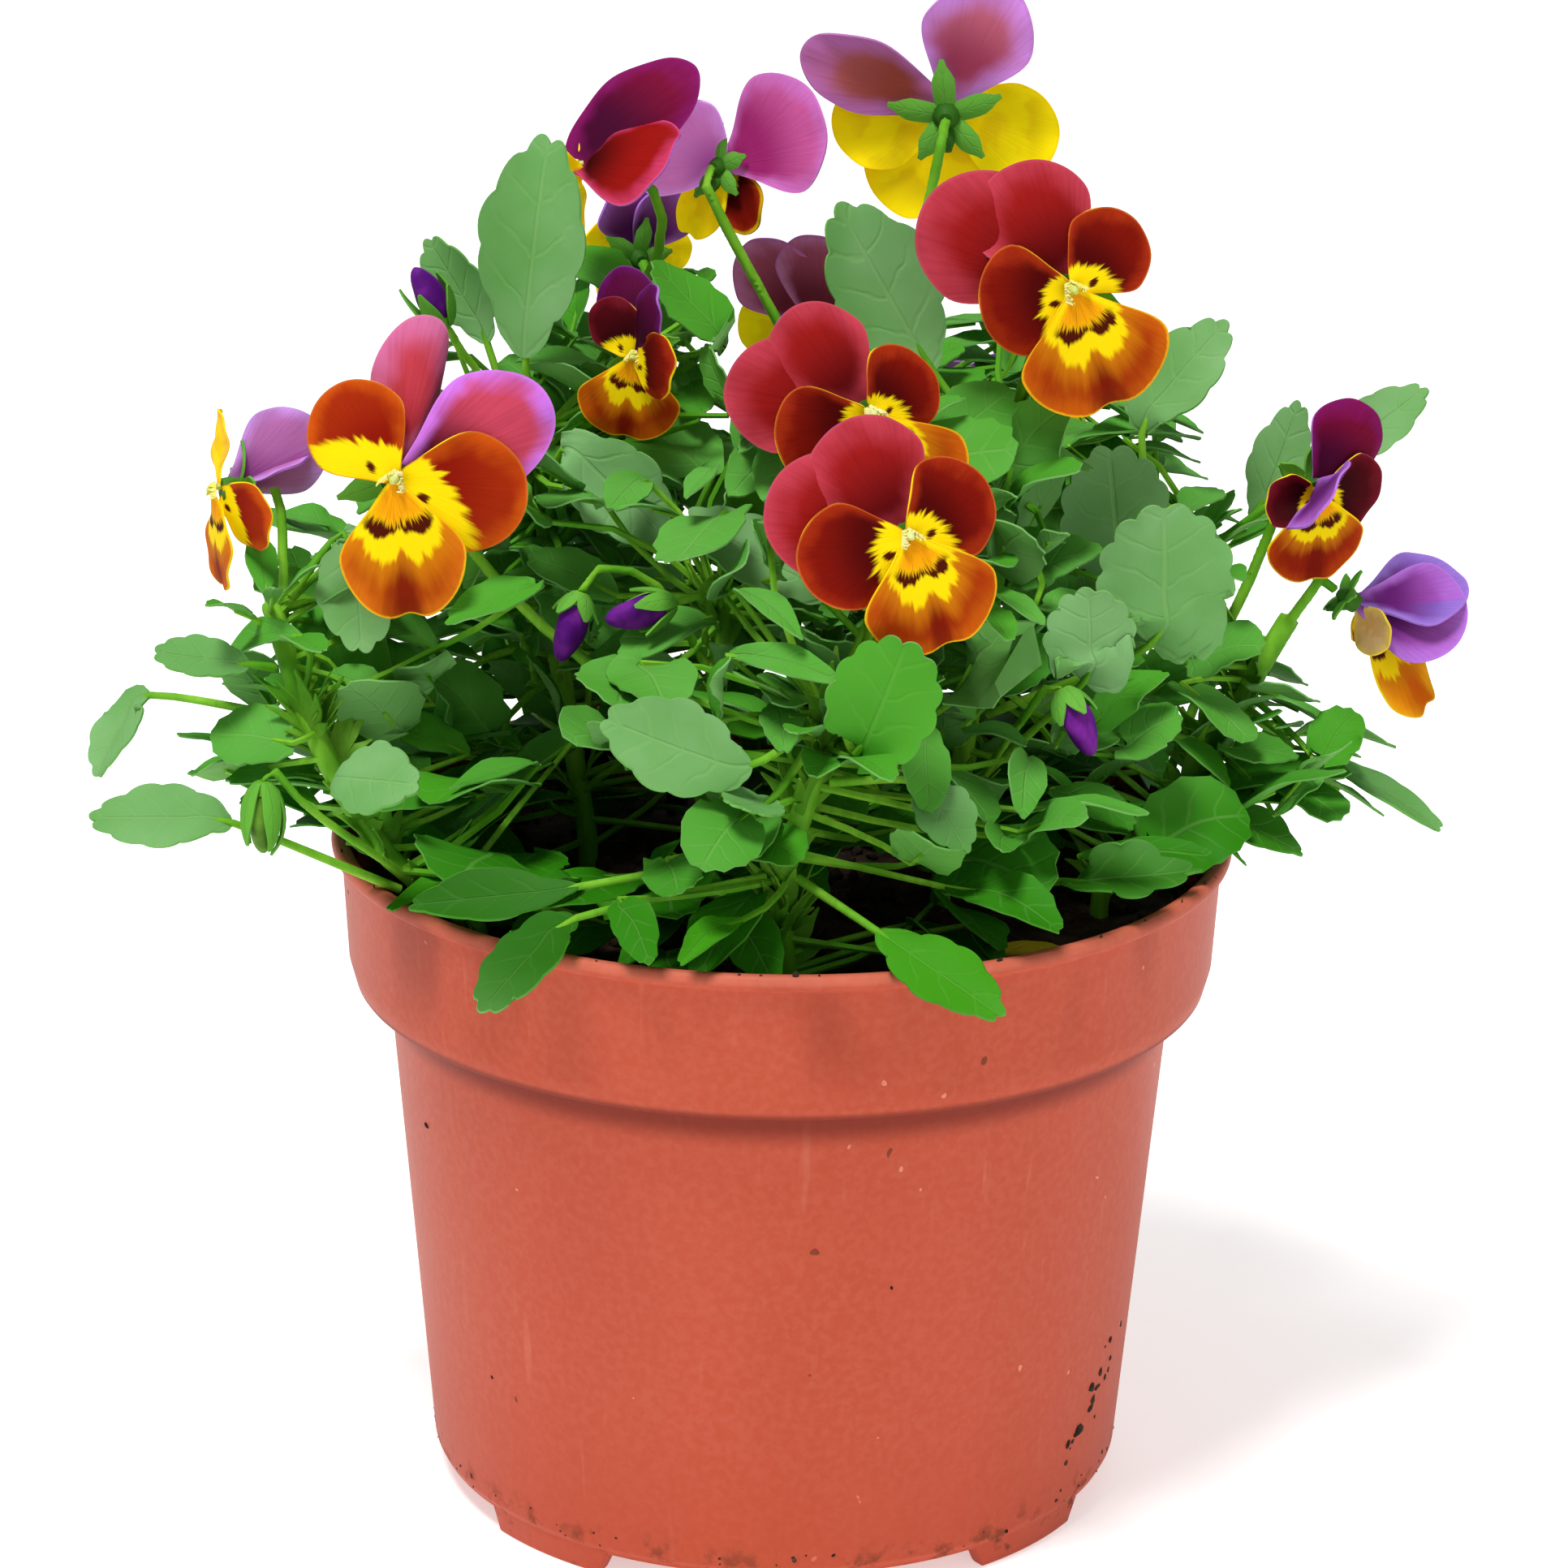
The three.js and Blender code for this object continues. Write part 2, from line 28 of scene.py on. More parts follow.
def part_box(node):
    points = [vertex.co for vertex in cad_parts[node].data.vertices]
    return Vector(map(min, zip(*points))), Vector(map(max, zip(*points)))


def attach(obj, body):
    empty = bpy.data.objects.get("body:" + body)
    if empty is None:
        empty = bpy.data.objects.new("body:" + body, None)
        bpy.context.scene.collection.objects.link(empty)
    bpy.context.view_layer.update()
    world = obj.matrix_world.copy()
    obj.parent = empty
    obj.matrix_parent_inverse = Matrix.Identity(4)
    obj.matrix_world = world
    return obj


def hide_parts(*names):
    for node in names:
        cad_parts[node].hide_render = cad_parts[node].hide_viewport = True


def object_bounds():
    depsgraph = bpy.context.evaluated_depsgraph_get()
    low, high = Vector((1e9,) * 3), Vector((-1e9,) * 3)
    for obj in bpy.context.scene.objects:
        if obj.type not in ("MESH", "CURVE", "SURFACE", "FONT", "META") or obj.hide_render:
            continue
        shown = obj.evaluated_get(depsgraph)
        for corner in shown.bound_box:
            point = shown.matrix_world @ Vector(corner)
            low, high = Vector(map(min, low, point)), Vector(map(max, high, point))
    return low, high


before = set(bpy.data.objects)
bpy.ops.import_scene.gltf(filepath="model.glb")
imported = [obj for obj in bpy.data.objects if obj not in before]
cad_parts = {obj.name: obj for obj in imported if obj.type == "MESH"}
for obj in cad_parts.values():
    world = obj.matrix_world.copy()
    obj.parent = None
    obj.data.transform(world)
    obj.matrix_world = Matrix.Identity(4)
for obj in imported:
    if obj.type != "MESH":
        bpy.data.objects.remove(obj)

CAD_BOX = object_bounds()
MM = 0.001
UP = Vector((0.0, 0.0, 1.0))
LOG = logging.getLogger("planter")

CHANCE = random.Random(7)  # every random draw comes from here, in a fixed order
between = CHANCE.uniform

Colour = tuple[float, float, float]
Spot = tuple[Vector, tuple[float, float], tuple[float, float]]  # a point and two map places
Place = Callable[[float, float], Spot]


# ---- Colours and shader arithmetic


def rgb(red: int, green: int, blue: int) -> Colour:
    """Turns a screen colour into the linear colour that a shader mixes.

    Args:
        red, green, blue: the colour's parts, from 0 to 255.

    Returns:
        The linear colour.
    """
    parts = (part / 255 for part in (red, green, blue))
    return tuple(p / 12.92 if p <= 0.04045 else ((p + 0.055) / 1.055) ** 2.4 for p in parts)


def maths(operation: str) -> Callable[..., Value]:
    """Makes a method of Value that adds one kind of Math node.

    Args:
        operation: the Math node's operation.

    Returns:
        The method, which takes the node's other inputs.
    """

    def method(self: Value, *others: Value | float) -> Value:
        """Adds the node, with this value as its first input."""
        return self.math(operation, *others)

    return method


class Value:
    """A number that varies over a surface. Arithmetic on it adds Math nodes."""

    def __init__(self, paint: Paint, socket: NodeSocket) -> None:
        """Wraps an output socket of a paint's tree."""
        self.paint = paint
        self.socket = socket

    def math(self, operation: str, *others: Value | float) -> Value:
        """Adds a Math node whose first input is this value.

        Args:
            operation: the Math node's operation.
            others: its other inputs.

        Returns:
            The node's result.
        """
        inputs = {index: item for index, item in enumerate((self, *others))}
        return self.paint.value("ShaderNodeMath", {"operation": operation}, inputs)

    __add__ = __radd__ = maths("ADD")
    __mul__ = __rmul__ = maths("MULTIPLY")
    __sub__ = maths("SUBTRACT")
    __truediv__ = maths("DIVIDE")
    __pow__ = maths("POWER")
    __abs__ = maths("ABSOLUTE")
    highest = maths("MAXIMUM")

    def __rsub__(self, other: Value | float) -> Value:
        """Takes this value away from other."""
        return (self * -1.0) + other

    def rise(self, low: Value | float, high: Value | float) -> Value:
        """Rises smoothly from 0 at low to 1 at high; low may be the larger.

        Args:
            low: where the result is 0.
            high: where the result is 1.

        Returns:
            The smooth step.
        """
        settings = {"interpolation_type": "SMOOTHSTEP", "clamp": True}
        ends = {"Value": self, "From Min": low, "From Max": high}
        return self.paint.value("ShaderNodeMapRange", settings, ends)


def hypotenuse(x: Value, y: Value) -> Value:
    """Returns how long a step of x one way and y the other is."""
    return (x * x + y * y).math("SQRT")


class Paint:
    """A procedural material being built: its tree and the few ways of adding nodes to it."""

    def __init__(self, name: str) -> None:
        """Starts an empty material.

        Args:
            name: the material's name.
        """
        self.material = bpy.data.materials.new(name)
        self.material.use_nodes = True
        self.tree = self.material.node_tree
        self.tree.nodes.clear()

    def node(self, kind: str, settings: dict | None = None, inputs: dict | None = None) -> Node:
        """Adds any node.

        Args:
            kind: the node's type.
            settings: its properties, set before its sockets.
            inputs: values or links by socket name, identifier or index.

        Returns:
            The node.
        """
        made = self.tree.nodes.new(kind)
        for key, setting in (settings or {}).items():
            setattr(made, key, setting)
        for key, item in (inputs or {}).items():
            socket = made.inputs[key] if isinstance(key, int) else next(
                s for s in made.inputs if key in (s.identifier, s.name) and s.enabled)
            self.feed(socket, item)
        return made

    def feed(self, socket: NodeSocket, item: object) -> None:
        """Links an item to a socket, or sets the socket to it.

        Args:
            socket: the input.
            item: a Value, an output socket, a number, a colour or a vector.
        """
        if isinstance(item, Value):
            item = item.socket
        if isinstance(item, NodeSocket):
            self.tree.links.new(item, socket)
        elif socket.type == "RGBA":
            socket.default_value = (*item, 1.0)
        else:
            socket.default_value = item

    def value(self, kind: str, settings: dict | None, inputs: dict) -> Value:
        """Adds a node and returns its first output as a Value."""
        return Value(self, self.node(kind, settings, inputs).outputs[0])

    def mix(self, share: Value | float, first: object, second: object) -> NodeSocket:
        """Mixes two colours.

        Args:
            share: how much of the second colour shows.
            first, second: colours or colour sockets.

        Returns:
            The mixed colour.
        """
        inputs = {"Factor_Float": share, "A_Color": first, "B_Color": second}
        settings = {"data_type": "RGBA", "clamp_factor": True}
        made = self.node("ShaderNodeMix", settings, inputs)
        return next(s for s in made.outputs if s.identifier == "Result_Color")

    def place(self) -> NodeSocket:
        """Returns the place on the object, in metres."""
        return self.node("ShaderNodeTexCoord").outputs["Object"]

    def stretched(self, *scale: float) -> NodeSocket:
        """Returns the place with each of its axes scaled."""
        return self.node("ShaderNodeMapping", None, {0: self.place(), "Scale": scale}).outputs[0]

    def split(self, source: NodeSocket) -> tuple[Value, ...]:
        """Splits a vector into its three numbers."""
        made = self.node("ShaderNodeSeparateXYZ", None, {0: source})
        return tuple(Value(self, out) for out in made.outputs)

    def sheet(self, name: str) -> tuple[Value, Value]:
        """Reads a UV map.

        Args:
            name: the map's name.

        Returns:
            Its two coordinates, moved so that 0.5 across reads 0.
        """
        across, along, _ = self.split(self.node("ShaderNodeUVMap", {"uv_map": name}).outputs[0])
        return across - 0.5, along

    def vector(self, x: Value, y: Value, z: Value) -> NodeSocket:
        """Joins three numbers to a vector."""
        return self.node("ShaderNodeCombineXYZ", None, {0: x, 1: y, 2: z}).outputs[0]

    def noise(self, where: object, scale: float, detail: float = 2.0, rough: float = 0.5) -> Value:
        """Adds a noise texture.

        Args:
            where: its coordinates.
            scale: how fine it is.
            detail, rough: the texture's own settings.

        Returns:
            A value that is mostly between 0.3 and 0.7.
        """
        inputs = {"Vector": where, "Scale": scale, "Detail": detail, "Roughness": rough}
        return self.value("ShaderNodeTexNoise", None, inputs)

    def seed(self) -> Value:
        """Returns a slow number that differs from piece to piece by where the piece is."""
        x, y, z = self.split(self.place())
        return x * 61.0 + y * 47.0 + z * 53.0

    def finish(self, colour: object, rough: Value | float, bump: Value | None = None,
               depth: float = 0.0, through: float = 0.0, **fixed: float) -> Material:
        """Closes the material with a Principled shader.

        Args:
            colour: the base colour.
            rough: the roughness.
            bump: height of the surface, from 0 to 1.
            depth: what a height of 1 stands for, in metres.
            through: share of light that passes through a thin sheet.
            fixed: other sockets of the shader, the same all over.

        Returns:
            The finished material.
        """
        inputs = {"Base Color": colour, "Roughness": rough}
        if bump is not None:
            raised = self.node("ShaderNodeBump", None,
                               {"Height": bump, "Distance": depth, "Strength": 1.0})
            inputs["Normal"] = raised.outputs[0]
        inputs.update({key.replace("_", " "): item for key, item in fixed.items()})
        if inputs.get("Emission Strength"):
            inputs.setdefault("Emission Color", colour)
        surface = self.node("ShaderNodeBsdfPrincipled", None, inputs).outputs[0]
        if through:
            glow = self.node("ShaderNodeBsdfTranslucent", None, {"Color": colour})
            surface = self.node("ShaderNodeMixShader", None,
                                {0: through, 1: surface, 2: glow.outputs[0]}).outputs[0]
        self.node("ShaderNodeOutputMaterial", None, {"Surface": surface})
        return self.material


# ---- Finishes


@dataclass(frozen=True)
class Finish:
    """A finish that can be put on a piece."""

    name: str

    @cache
    def material(self) -> Material:
        """Returns the finish's material, built the first time that it is asked for."""
        return self.build(Paint(self.name))

    def build(self, paint: Paint) -> Material:
        """Builds the material.

        Args:
            paint: the empty material.

        Returns:
            The finished material.
        """
        raise NotImplementedError


@dataclass(frozen=True)
class PotPlastic(Finish):
    """Satin moulded plastic with flow marks, fine specks and soil dust at rim and foot.

    Its colour also holds painted light: painted shade under the collar, painted leaf shadows
    on the collar and a painted highlight along the lip.
    """

    body: Colour = rgb(184, 78, 54)
    warm: Colour = rgb(175, 70, 44)
    # colour of the painted shade under the collar and of the painted leaf shadows on it
    painted_shade: Colour = rgb(112, 38, 26)
    dust: Colour = rgb(92, 52, 34)
    pale: Colour = rgb(232, 150, 126)
    inner_wall: float = 0.05745
    foot_height: float = 0.0045
    collar_base: float = 0.071
    body_radius: float = 0.0527
    lip_height: float = 0.0895
    lip_reach: float = 0.0590
    inside_line: tuple[float, float] = (0.0755, 0.0775)

    def build(self, paint: Paint) -> Material:
        """Builds the plastic."""
        place = paint.place()
        x, y, z = paint.split(place)
        reach = hypotenuse(x, y)
        flow = paint.noise(paint.stretched(34.0, 34.0, 9.0), 1.0, 3.0)
        grain = paint.noise(place, 900.0)
        scuffs = paint.noise(paint.stretched(420.0, 420.0, 40.0), 1.0)
        colour = paint.mix(flow.rise(0.35, 0.7) * 0.45, self.body, self.warm)
        colour = paint.mix(grain.rise(0.3, 0.75) * 0.08, colour, self.pale)
        colour = paint.mix(scuffs.rise(0.66, 0.78) * 0.12, colour, self.pale)
        specks = paint.noise(place, 420.0, 1.0).rise(0.80, 0.81)
        colour = paint.mix(specks * 0.6, colour, self.pale)
        base = z.rise(0.03, 0.004)
        colour = paint.mix(base * 0.5, colour, self.warm)
        # painted shade: a dark band on the body just under the collar's overhang
        under = z.rise(self.collar_base - 0.0062, self.collar_base - 0.0026)
        under = under * z.rise(self.collar_base + 0.0012, self.collar_base + 0.0002)
        under = under * reach.rise(self.body_radius - 0.0014, self.body_radius - 0.0006)
        colour = paint.mix(under * 0.8, colour, self.painted_shade)
        # painted leaf shadows: soft dark patches over the collar, below the lip
        painted_leaf_shadow = paint.noise(paint.stretched(62.0, 62.0, 16.0), 1.0, 1.0)
        painted_leaf_shadow = painted_leaf_shadow.rise(0.5, 0.66) * z.rise(self.collar_base, self.lip_height - 0.004)
        colour = paint.mix(painted_leaf_shadow * 0.42, colour, self.painted_shade)
        # painted highlight: a pale line along the lip's outer rounding
        painted_lip_highlight = z.rise(self.lip_height - 0.0002, self.lip_height + 0.0008)
        painted_lip_highlight = painted_lip_highlight * reach.rise(self.lip_reach - 0.0012, self.lip_reach - 0.0002)
        colour = paint.mix(painted_lip_highlight * 0.2, colour, self.pale)
        low = z.rise(self.foot_height * 2.2, self.foot_height * 0.6)
        inside = reach.rise(self.inner_wall + 0.0002, self.inner_wall)
        inside = inside * z.rise(*self.inside_line)
        dirt = paint.noise(place, 260.0, 4.0, 0.65)
        dust = (low * dirt.rise(0.53, 0.68) * 0.8).highest(inside * dirt.rise(0.42, 0.6) * 0.85)
        dark_specks = paint.noise(place, 330.0, 1.0).rise(0.2, 0.185)
        dust = dust.highest(dark_specks * 0.7)
        colour = paint.mix(dust, colour, self.dust)
        rough = 0.42 + flow * 0.12 + dust * 0.4
        height = flow * 0.7 + grain * 0.3 + dust * 1.5
        return paint.finish(colour, rough, height, 0.00006, Specular_IOR_Level=0.1)


@dataclass(frozen=True)
class Compost(Finish):
    """Dark moist compost with pale fibres."""

    def build(self, paint: Paint) -> Material:
        """Builds the compost."""
        lumps = paint.noise(paint.place(), 210.0, 5.0, 0.7)
        fine = paint.noise(paint.place(), 1100.0, 3.0, 0.7)
        colour = paint.mix(lumps.rise(0.35, 0.68), rgb(24, 16, 12), rgb(70, 50, 36))
        colour = paint.mix(fine.rise(0.62, 0.72) * 0.5, colour, rgb(118, 92, 66))
        height = lumps * 0.6 + fine * 0.4
        return paint.finish(colour, 0.85 + fine * 0.15, height, 0.0007, Specular_IOR_Level=0.25)


@dataclass(frozen=True)
class GreenStem(Finish):
    """Juicy pale green stem with darker streaks."""

    pale: Colour = rgb(140, 204, 54)
    deep: Colour = rgb(84, 158, 26)
    through: float = 0.15

    def build(self, paint: Paint) -> Material:
        """Builds the stem's skin."""
        streaks = paint.noise(paint.stretched(1.0, 1.0, 0.16), 900.0)
        patches = paint.noise(paint.place(), 60.0, 3.0)
        colour = paint.mix(patches.rise(0.35, 0.65), self.deep, self.pale)
        colour = paint.mix(streaks.rise(0.4, 0.7) * 0.35, colour, self.deep)
        return paint.finish(colour, 0.45 + streaks * 0.2, streaks, 0.00016, self.through,
                            Specular_IOR_Level=0.14)


@dataclass(frozen=True)
class LeafSkin(Finish):
    """A leaf's skin: green under a pale painted sheen, faint veins and a lighter edge.

    The painted sheen stands for sky light on leaves that are out in the light, and inner leaves
    stay a plain deep green, which is painted shade: open_height and open_reach are where that
    changes, up the plant and outwards.
    """

    green: Colour = rgb(72, 150, 32)
    # the deeper green that inner leaves keep as painted shade, and the pale colour of the painted
    # sheen
    inner: Colour = rgb(50, 116, 22)
    painted_sheen: Colour = rgb(138, 188, 124)
    vein: Colour = rgb(160, 208, 118)
    painted_sheen_share: float = 0.9
    veins: float = 4.5
    raised: float = 0.45
    through: float = 0.18
    shine: float = 0.08
    open_height: tuple[float, float] = (0.095, 0.112)
    open_reach: tuple[float, float] = (0.066, 0.080)

    def build(self, paint: Paint) -> Material:
        """Builds the leaf's skin from its own map, which runs across and along the blade."""
        across, along = paint.sheet("blade")
        place = paint.place()
        x, y, z = paint.split(place)
        reach = hypotenuse(x, y)
        # how far a leaf is out in the light, up the plant and outwards; it sets the painted shade
        # and the painted sheen
        outer = z.rise(*self.open_height).highest(reach.rise(*self.open_reach))
        slow = paint.noise(place, 46.0)
        cells = paint.noise(place, 1500.0)
        mottle = paint.noise(place, 260.0, 3.0)
        off = abs(across)
        ripple = (paint.noise(place, 300.0, 1.0) - 0.5) * 0.5
        side = abs(((along * self.veins) - off * 2.3 + ripple).math("FRACT") - 0.5)
        side_vein = side.rise(0.39, 0.5) * off.rise(0.46, 0.2) * 0.6
        mid = off.rise(0.03, 0.008) * along.rise(1.02, 0.8)
        veins = side_vein.highest(mid)
        # painted sheen: pale sky light on leaves that are out in the light
        painted_sheen_mask = (0.55 + slow.rise(0.3, 0.6) * 0.45) * self.painted_sheen_share * outer
        painted_sheen_mask = painted_sheen_mask * (0.7 + mottle * 0.5)
        # painted shade: inner leaves keep the deeper green
        colour = paint.mix(outer * 0.8 + slow * 0.4, self.inner, self.green)
        colour = paint.mix(painted_sheen_mask, colour, self.painted_sheen)
        colour = paint.mix(veins * 0.16, colour, self.vein)
        edge = off.rise(0.44, 0.5).highest(along.rise(0.965, 1.0))
        colour = paint.mix(edge * 0.08, colour, self.vein)
        height = cells * 0.12 + mottle * 0.35 - veins * self.raised
        rough = 0.52 + painted_sheen_mask * 0.22 + cells * 0.06
        return paint.finish(colour, rough, height, 0.00022, self.through,
                            Specular_IOR_Level=self.shine)


@dataclass(frozen=True)
class PetalSkin(Finish):
    """A petal's skin, painted in rings round the flower's heart.

    Distances from the heart are shares of the petal's length. deep, ground and edge follow
    one another outwards, margin is the thin line round the petal, and eye is how far the
    yellow blotch reaches. eye_side is its half width on a lower petal, whose beard is the
    inner fan and mask the dark band. lean carries the blotch of a side petal towards the
    lower one, mark is how far out its dark smudge is, and blush is a stain on a back. glow
    stands for the light that a pale petal lets through.
    """

    deep: Colour = rgb(78, 3, 3)
    ground: Colour = rgb(126, 18, 6)
    edge: Colour = rgb(180, 62, 20)
    margin: Colour = rgb(214, 136, 40)
    margin_width: float = 0.045
    margin_share: float = 0.8
    eye: float = 0.0
    eye_side: float = 0.0
    eye_colour: Colour = rgb(252, 224, 8)
    halo: Colour = rgb(214, 132, 12)
    jag: float = 0.32
    lean: float = 0.85
    beard: float = 0.0
    beard_colour: Colour = rgb(246, 160, 12)
    mask: float = 0.0
    mask_colour: Colour = rgb(80, 20, 4)
    wedge: float = 0.0
    mark: float = 0.0
    blush: float = 0.0
    blush_colour: Colour = rgb(158, 74, 16)
    lines: float = 0.12
    deep_reach: tuple[float, float] = (0.35, 0.85)
    edge_reach: tuple[float, float] = (0.62, 1.02)
    through: float = 0.2
    glow: float = 0.0

    def build(self, paint: Paint) -> Material:
        """Builds the petal's skin from its two maps, the petal's plan and its rim."""
        across, along = paint.sheet("petal")
        rim_x, rim_y = paint.sheet("rim")
        rim_y = rim_y - 0.5
        rim = hypotenuse(rim_x, rim_y) * 2.0
        reach = hypotenuse(across, along)
        turn = across.math("ARCTAN2", along)
        seed = paint.seed()
        rays = paint.noise(paint.vector(turn * 9.0, reach * 1.6, seed), 1.0, 2.5, 0.6)
        fine = paint.noise(paint.vector(turn * 34.0, reach * 2.2, seed), 1.0)
        cloud = paint.noise(paint.vector(across * 3.0, along * 3.0, seed), 1.0)
        colour = paint.mix(reach.rise(*self.deep_reach), self.deep, self.ground)
        outer = rim + (cloud - 0.5) * 0.6
        colour = paint.mix(outer.rise(*self.edge_reach), colour, self.edge)
        colour = paint.mix(fine.rise(0.42, 0.68) * self.lines, colour, self.deep)
        if self.blush:
            stain = cloud.rise(0.48, 0.6) * reach.rise(0.2, 0.4) * reach.rise(0.95, 0.7)
            colour = paint.mix(stain * self.blush, colour, self.blush_colour)
        if self.mask:
            colour = self.lower_face(paint, colour, across, along, turn, reach, rays, fine)
        elif self.eye:
            edge = self.eye + (rays - 0.5) * self.jag + across * self.lean
            glow = reach.rise(edge + 0.045, edge - 0.04)
            colour = paint.mix(glow, colour, self.eye_colour)
            off = (across - 0.1) ** 2.0 * 470.0 + (along - self.mark) ** 2.0 * 170.0
            smudge = (off.math("SQRT") + (fine - 0.5) * 1.7).rise(1.0, 0.5)
            colour = paint.mix(smudge, colour, self.mask_colour)
        line = rim + (fine - 0.5) * 0.03
        line = line.rise(1.0 - self.margin_width, 1.0 - self.margin_width * 0.3)
        colour = paint.mix(line * self.margin_share, colour, self.margin)
        height = fine * 0.5 + rays * 0.35 + cloud * 0.3
        return paint.finish(colour, 0.6 + fine * 0.12, height, 0.00012, self.through,
                            Specular_IOR_Level=0.05, Emission_Strength=self.glow)

    def lower_face(self, paint: Paint, colour: object, across: Value, along: Value,
                   turn: Value, reach: Value, rays: Value, fine: Value) -> object:
        """Paints a lower petal's eye: yellow ring, dark band, orange fan and red wedge.

        Args:
            paint: the material.
            colour: the petal's colour so far.
            across, along: the place on the petal's plan.
            turn, reach: the same place as an angle and a distance from the heart.
            rays, fine: coarse and fine streaks that run out from the heart.

        Returns:
            The petal's colour.
        """
        start = 0.28
        wide = across / self.eye_side
        far = (along - start).highest(0.0) / (self.eye - start)
        oval = hypotenuse(wide, far) + abs(turn).rise(0.2, 0.0) * 0.34
        oval = oval + (0.5 - rays) * self.jag * 2.2
        middle = abs(turn + (rays - 0.5) * 0.25).rise(0.2, 0.03) * reach.rise(0.4, 0.6)
        colour = paint.mix(middle * self.wedge, colour, self.deep)
        colour = paint.mix(oval.rise(1.7, 1.0) * 0.75, colour, self.halo)
        colour = paint.mix(oval.rise(1.08, 0.88), colour, self.eye_colour)
        lobes = abs(turn).rise(0.02, 0.3) * abs(turn).rise(0.95, 0.5)
        outer = self.mask - 0.05 + lobes * 0.07 + (rays - 0.5) * 0.14
        inner = self.beard + (fine - 0.5) * 0.24
        band = reach.rise(outer + 0.02, outer - 0.02) * reach.rise(inner - 0.03, inner + 0.03)
        band = band * abs(turn).rise(0.86, 0.62)
        colour = paint.mix(band, colour, self.mask_colour)
        fan = reach.rise(inner + 0.03, inner - 0.05) * abs(turn).rise(0.9, 0.6)
        colour = paint.mix(fan * 0.9, colour, self.beard_colour)
        return paint.mix(fan * fine.rise(0.56, 0.68) * 0.4, colour, self.mask_colour)


@dataclass(frozen=True)
class PlainTissue(Finish):
    """Small plant tissue without a map: buds, stigmas and hairs."""

    first: Colour = rgb(120, 60, 150)
    second: Colour = rgb(80, 24, 110)
    scale: float = 300.0
    through: float = 0.15

    def build(self, paint: Paint) -> Material:
        """Builds the tissue."""
        streaks = paint.noise(paint.stretched(1.0, 1.0, 0.3), self.scale * 3.0)
        patches = paint.noise(paint.place(), self.scale)
        colour = paint.mix(patches.rise(0.35, 0.65), self.first, self.second)
        colour = paint.mix(streaks.rise(0.45, 0.7) * 0.4, colour, self.second)
        return paint.finish(colour, 0.5 + streaks * 0.15, streaks, 0.0001, self.through,
                            Specular_IOR_Level=0.1)


@dataclass(frozen=True)
class PlainFloor(Finish):
    """Pale matt floor."""

    glow: float = 0.48

    def build(self, paint: Paint) -> Material:
        """Builds the floor."""
        cloud = paint.noise(paint.place(), 3.0)
        colour = paint.mix(cloud, rgb(250, 250, 250), rgb(246, 246, 246))
        return paint.finish(colour, 0.9, Specular_IOR_Level=0.0, Emission_Color=(1.0, 1.0, 1.0),
                            Emission_Strength=self.glow)


PLASTIC = PotPlastic("pot plastic")
COMPOST = Compost("compost")
STEM_SKIN = GreenStem("stem skin")
CALYX_SKIN = GreenStem("calyx skin", rgb(70, 128, 34), rgb(34, 84, 14), 0.05)
STIPULE_SKIN = GreenStem("stipule skin", rgb(132, 190, 56), rgb(76, 146, 26), 0.25)
LEAF_TOP = LeafSkin("leaf top")
LEAF_UNDER = LeafSkin("leaf underside", rgb(92, 168, 52), rgb(60, 134, 22), rgb(140, 190, 122),
                      rgb(160, 204, 130), 0.6, 4.5, -0.6)
SMALL_TOP = LeafSkin("small leaf", rgb(70, 158, 24), rgb(40, 120, 8), rgb(118, 182, 92),
                     painted_sheen_share=0.5)
YOUNG_TOP = LeafSkin("young leaf", rgb(72, 158, 28), rgb(66, 152, 18), rgb(100, 176, 70),
                     rgb(128, 194, 84), 0.35, 4.0, 0.4, 0.2)
# a darker, less sheened copy of the leaf skin for low leaves by the rim: painted shade
LOW_TOP = LeafSkin("low leaf", rgb(50, 118, 24), rgb(44, 108, 18), rgb(110, 164, 90),
                   rgb(110, 164, 80), 0.5)
DYING_LEAF = LeafSkin("dying leaf", rgb(206, 176, 40), rgb(206, 176, 40), rgb(172, 176, 70),
                      rgb(214, 196, 90), 0.5)
SEPAL_SKIN = LeafSkin("sepal", rgb(92, 172, 40), rgb(70, 140, 30), rgb(124, 188, 84),
                      rgb(150, 206, 100), 0.5, 3.0, 0.3)

RUST_SIDE = PetalSkin("rust side petal", edge=rgb(164, 46, 14), margin=rgb(200, 108, 44),
                      margin_share=0.7, eye=0.33, mark=0.215, lean=0.5)
BRIGHT_SIDE = replace(RUST_SIDE, name="orange side petal", deep=rgb(138, 20, 4),
                      ground=rgb(160, 42, 8), edge=rgb(200, 84, 12), eye=0.44, mark=0.225,
                      lean=0.85)
DARK_SIDE = replace(RUST_SIDE, name="dark side petal", deep=rgb(50, 3, 10), ground=rgb(78, 6, 16),
                    edge=rgb(112, 18, 34), margin=rgb(150, 70, 90), margin_share=0.5, eye=0.34)
RUST_LOWER = PetalSkin("rust lower petal", rgb(120, 18, 4), rgb(168, 56, 6), rgb(200, 96, 12),
                       rgb(238, 186, 30), eye=0.62, eye_side=0.31, beard=0.3, mask=0.39,
                       wedge=0.85, deep_reach=(0.2, 0.6))
DARK_LOWER = replace(RUST_LOWER, name="dark lower petal", ground=rgb(150, 34, 6),
                     edge=rgb(184, 66, 12), eye=0.54)
TURNED_SIDE = replace(RUST_SIDE, name="turned side petal", margin=rgb(222, 176, 16),
                      margin_width=0.14, margin_share=1.0)
GOLD_LOWER = replace(RUST_LOWER, name="golden lower petal", deep=rgb(206, 90, 8),
                     ground=rgb(232, 140, 10), edge=rgb(244, 176, 20))
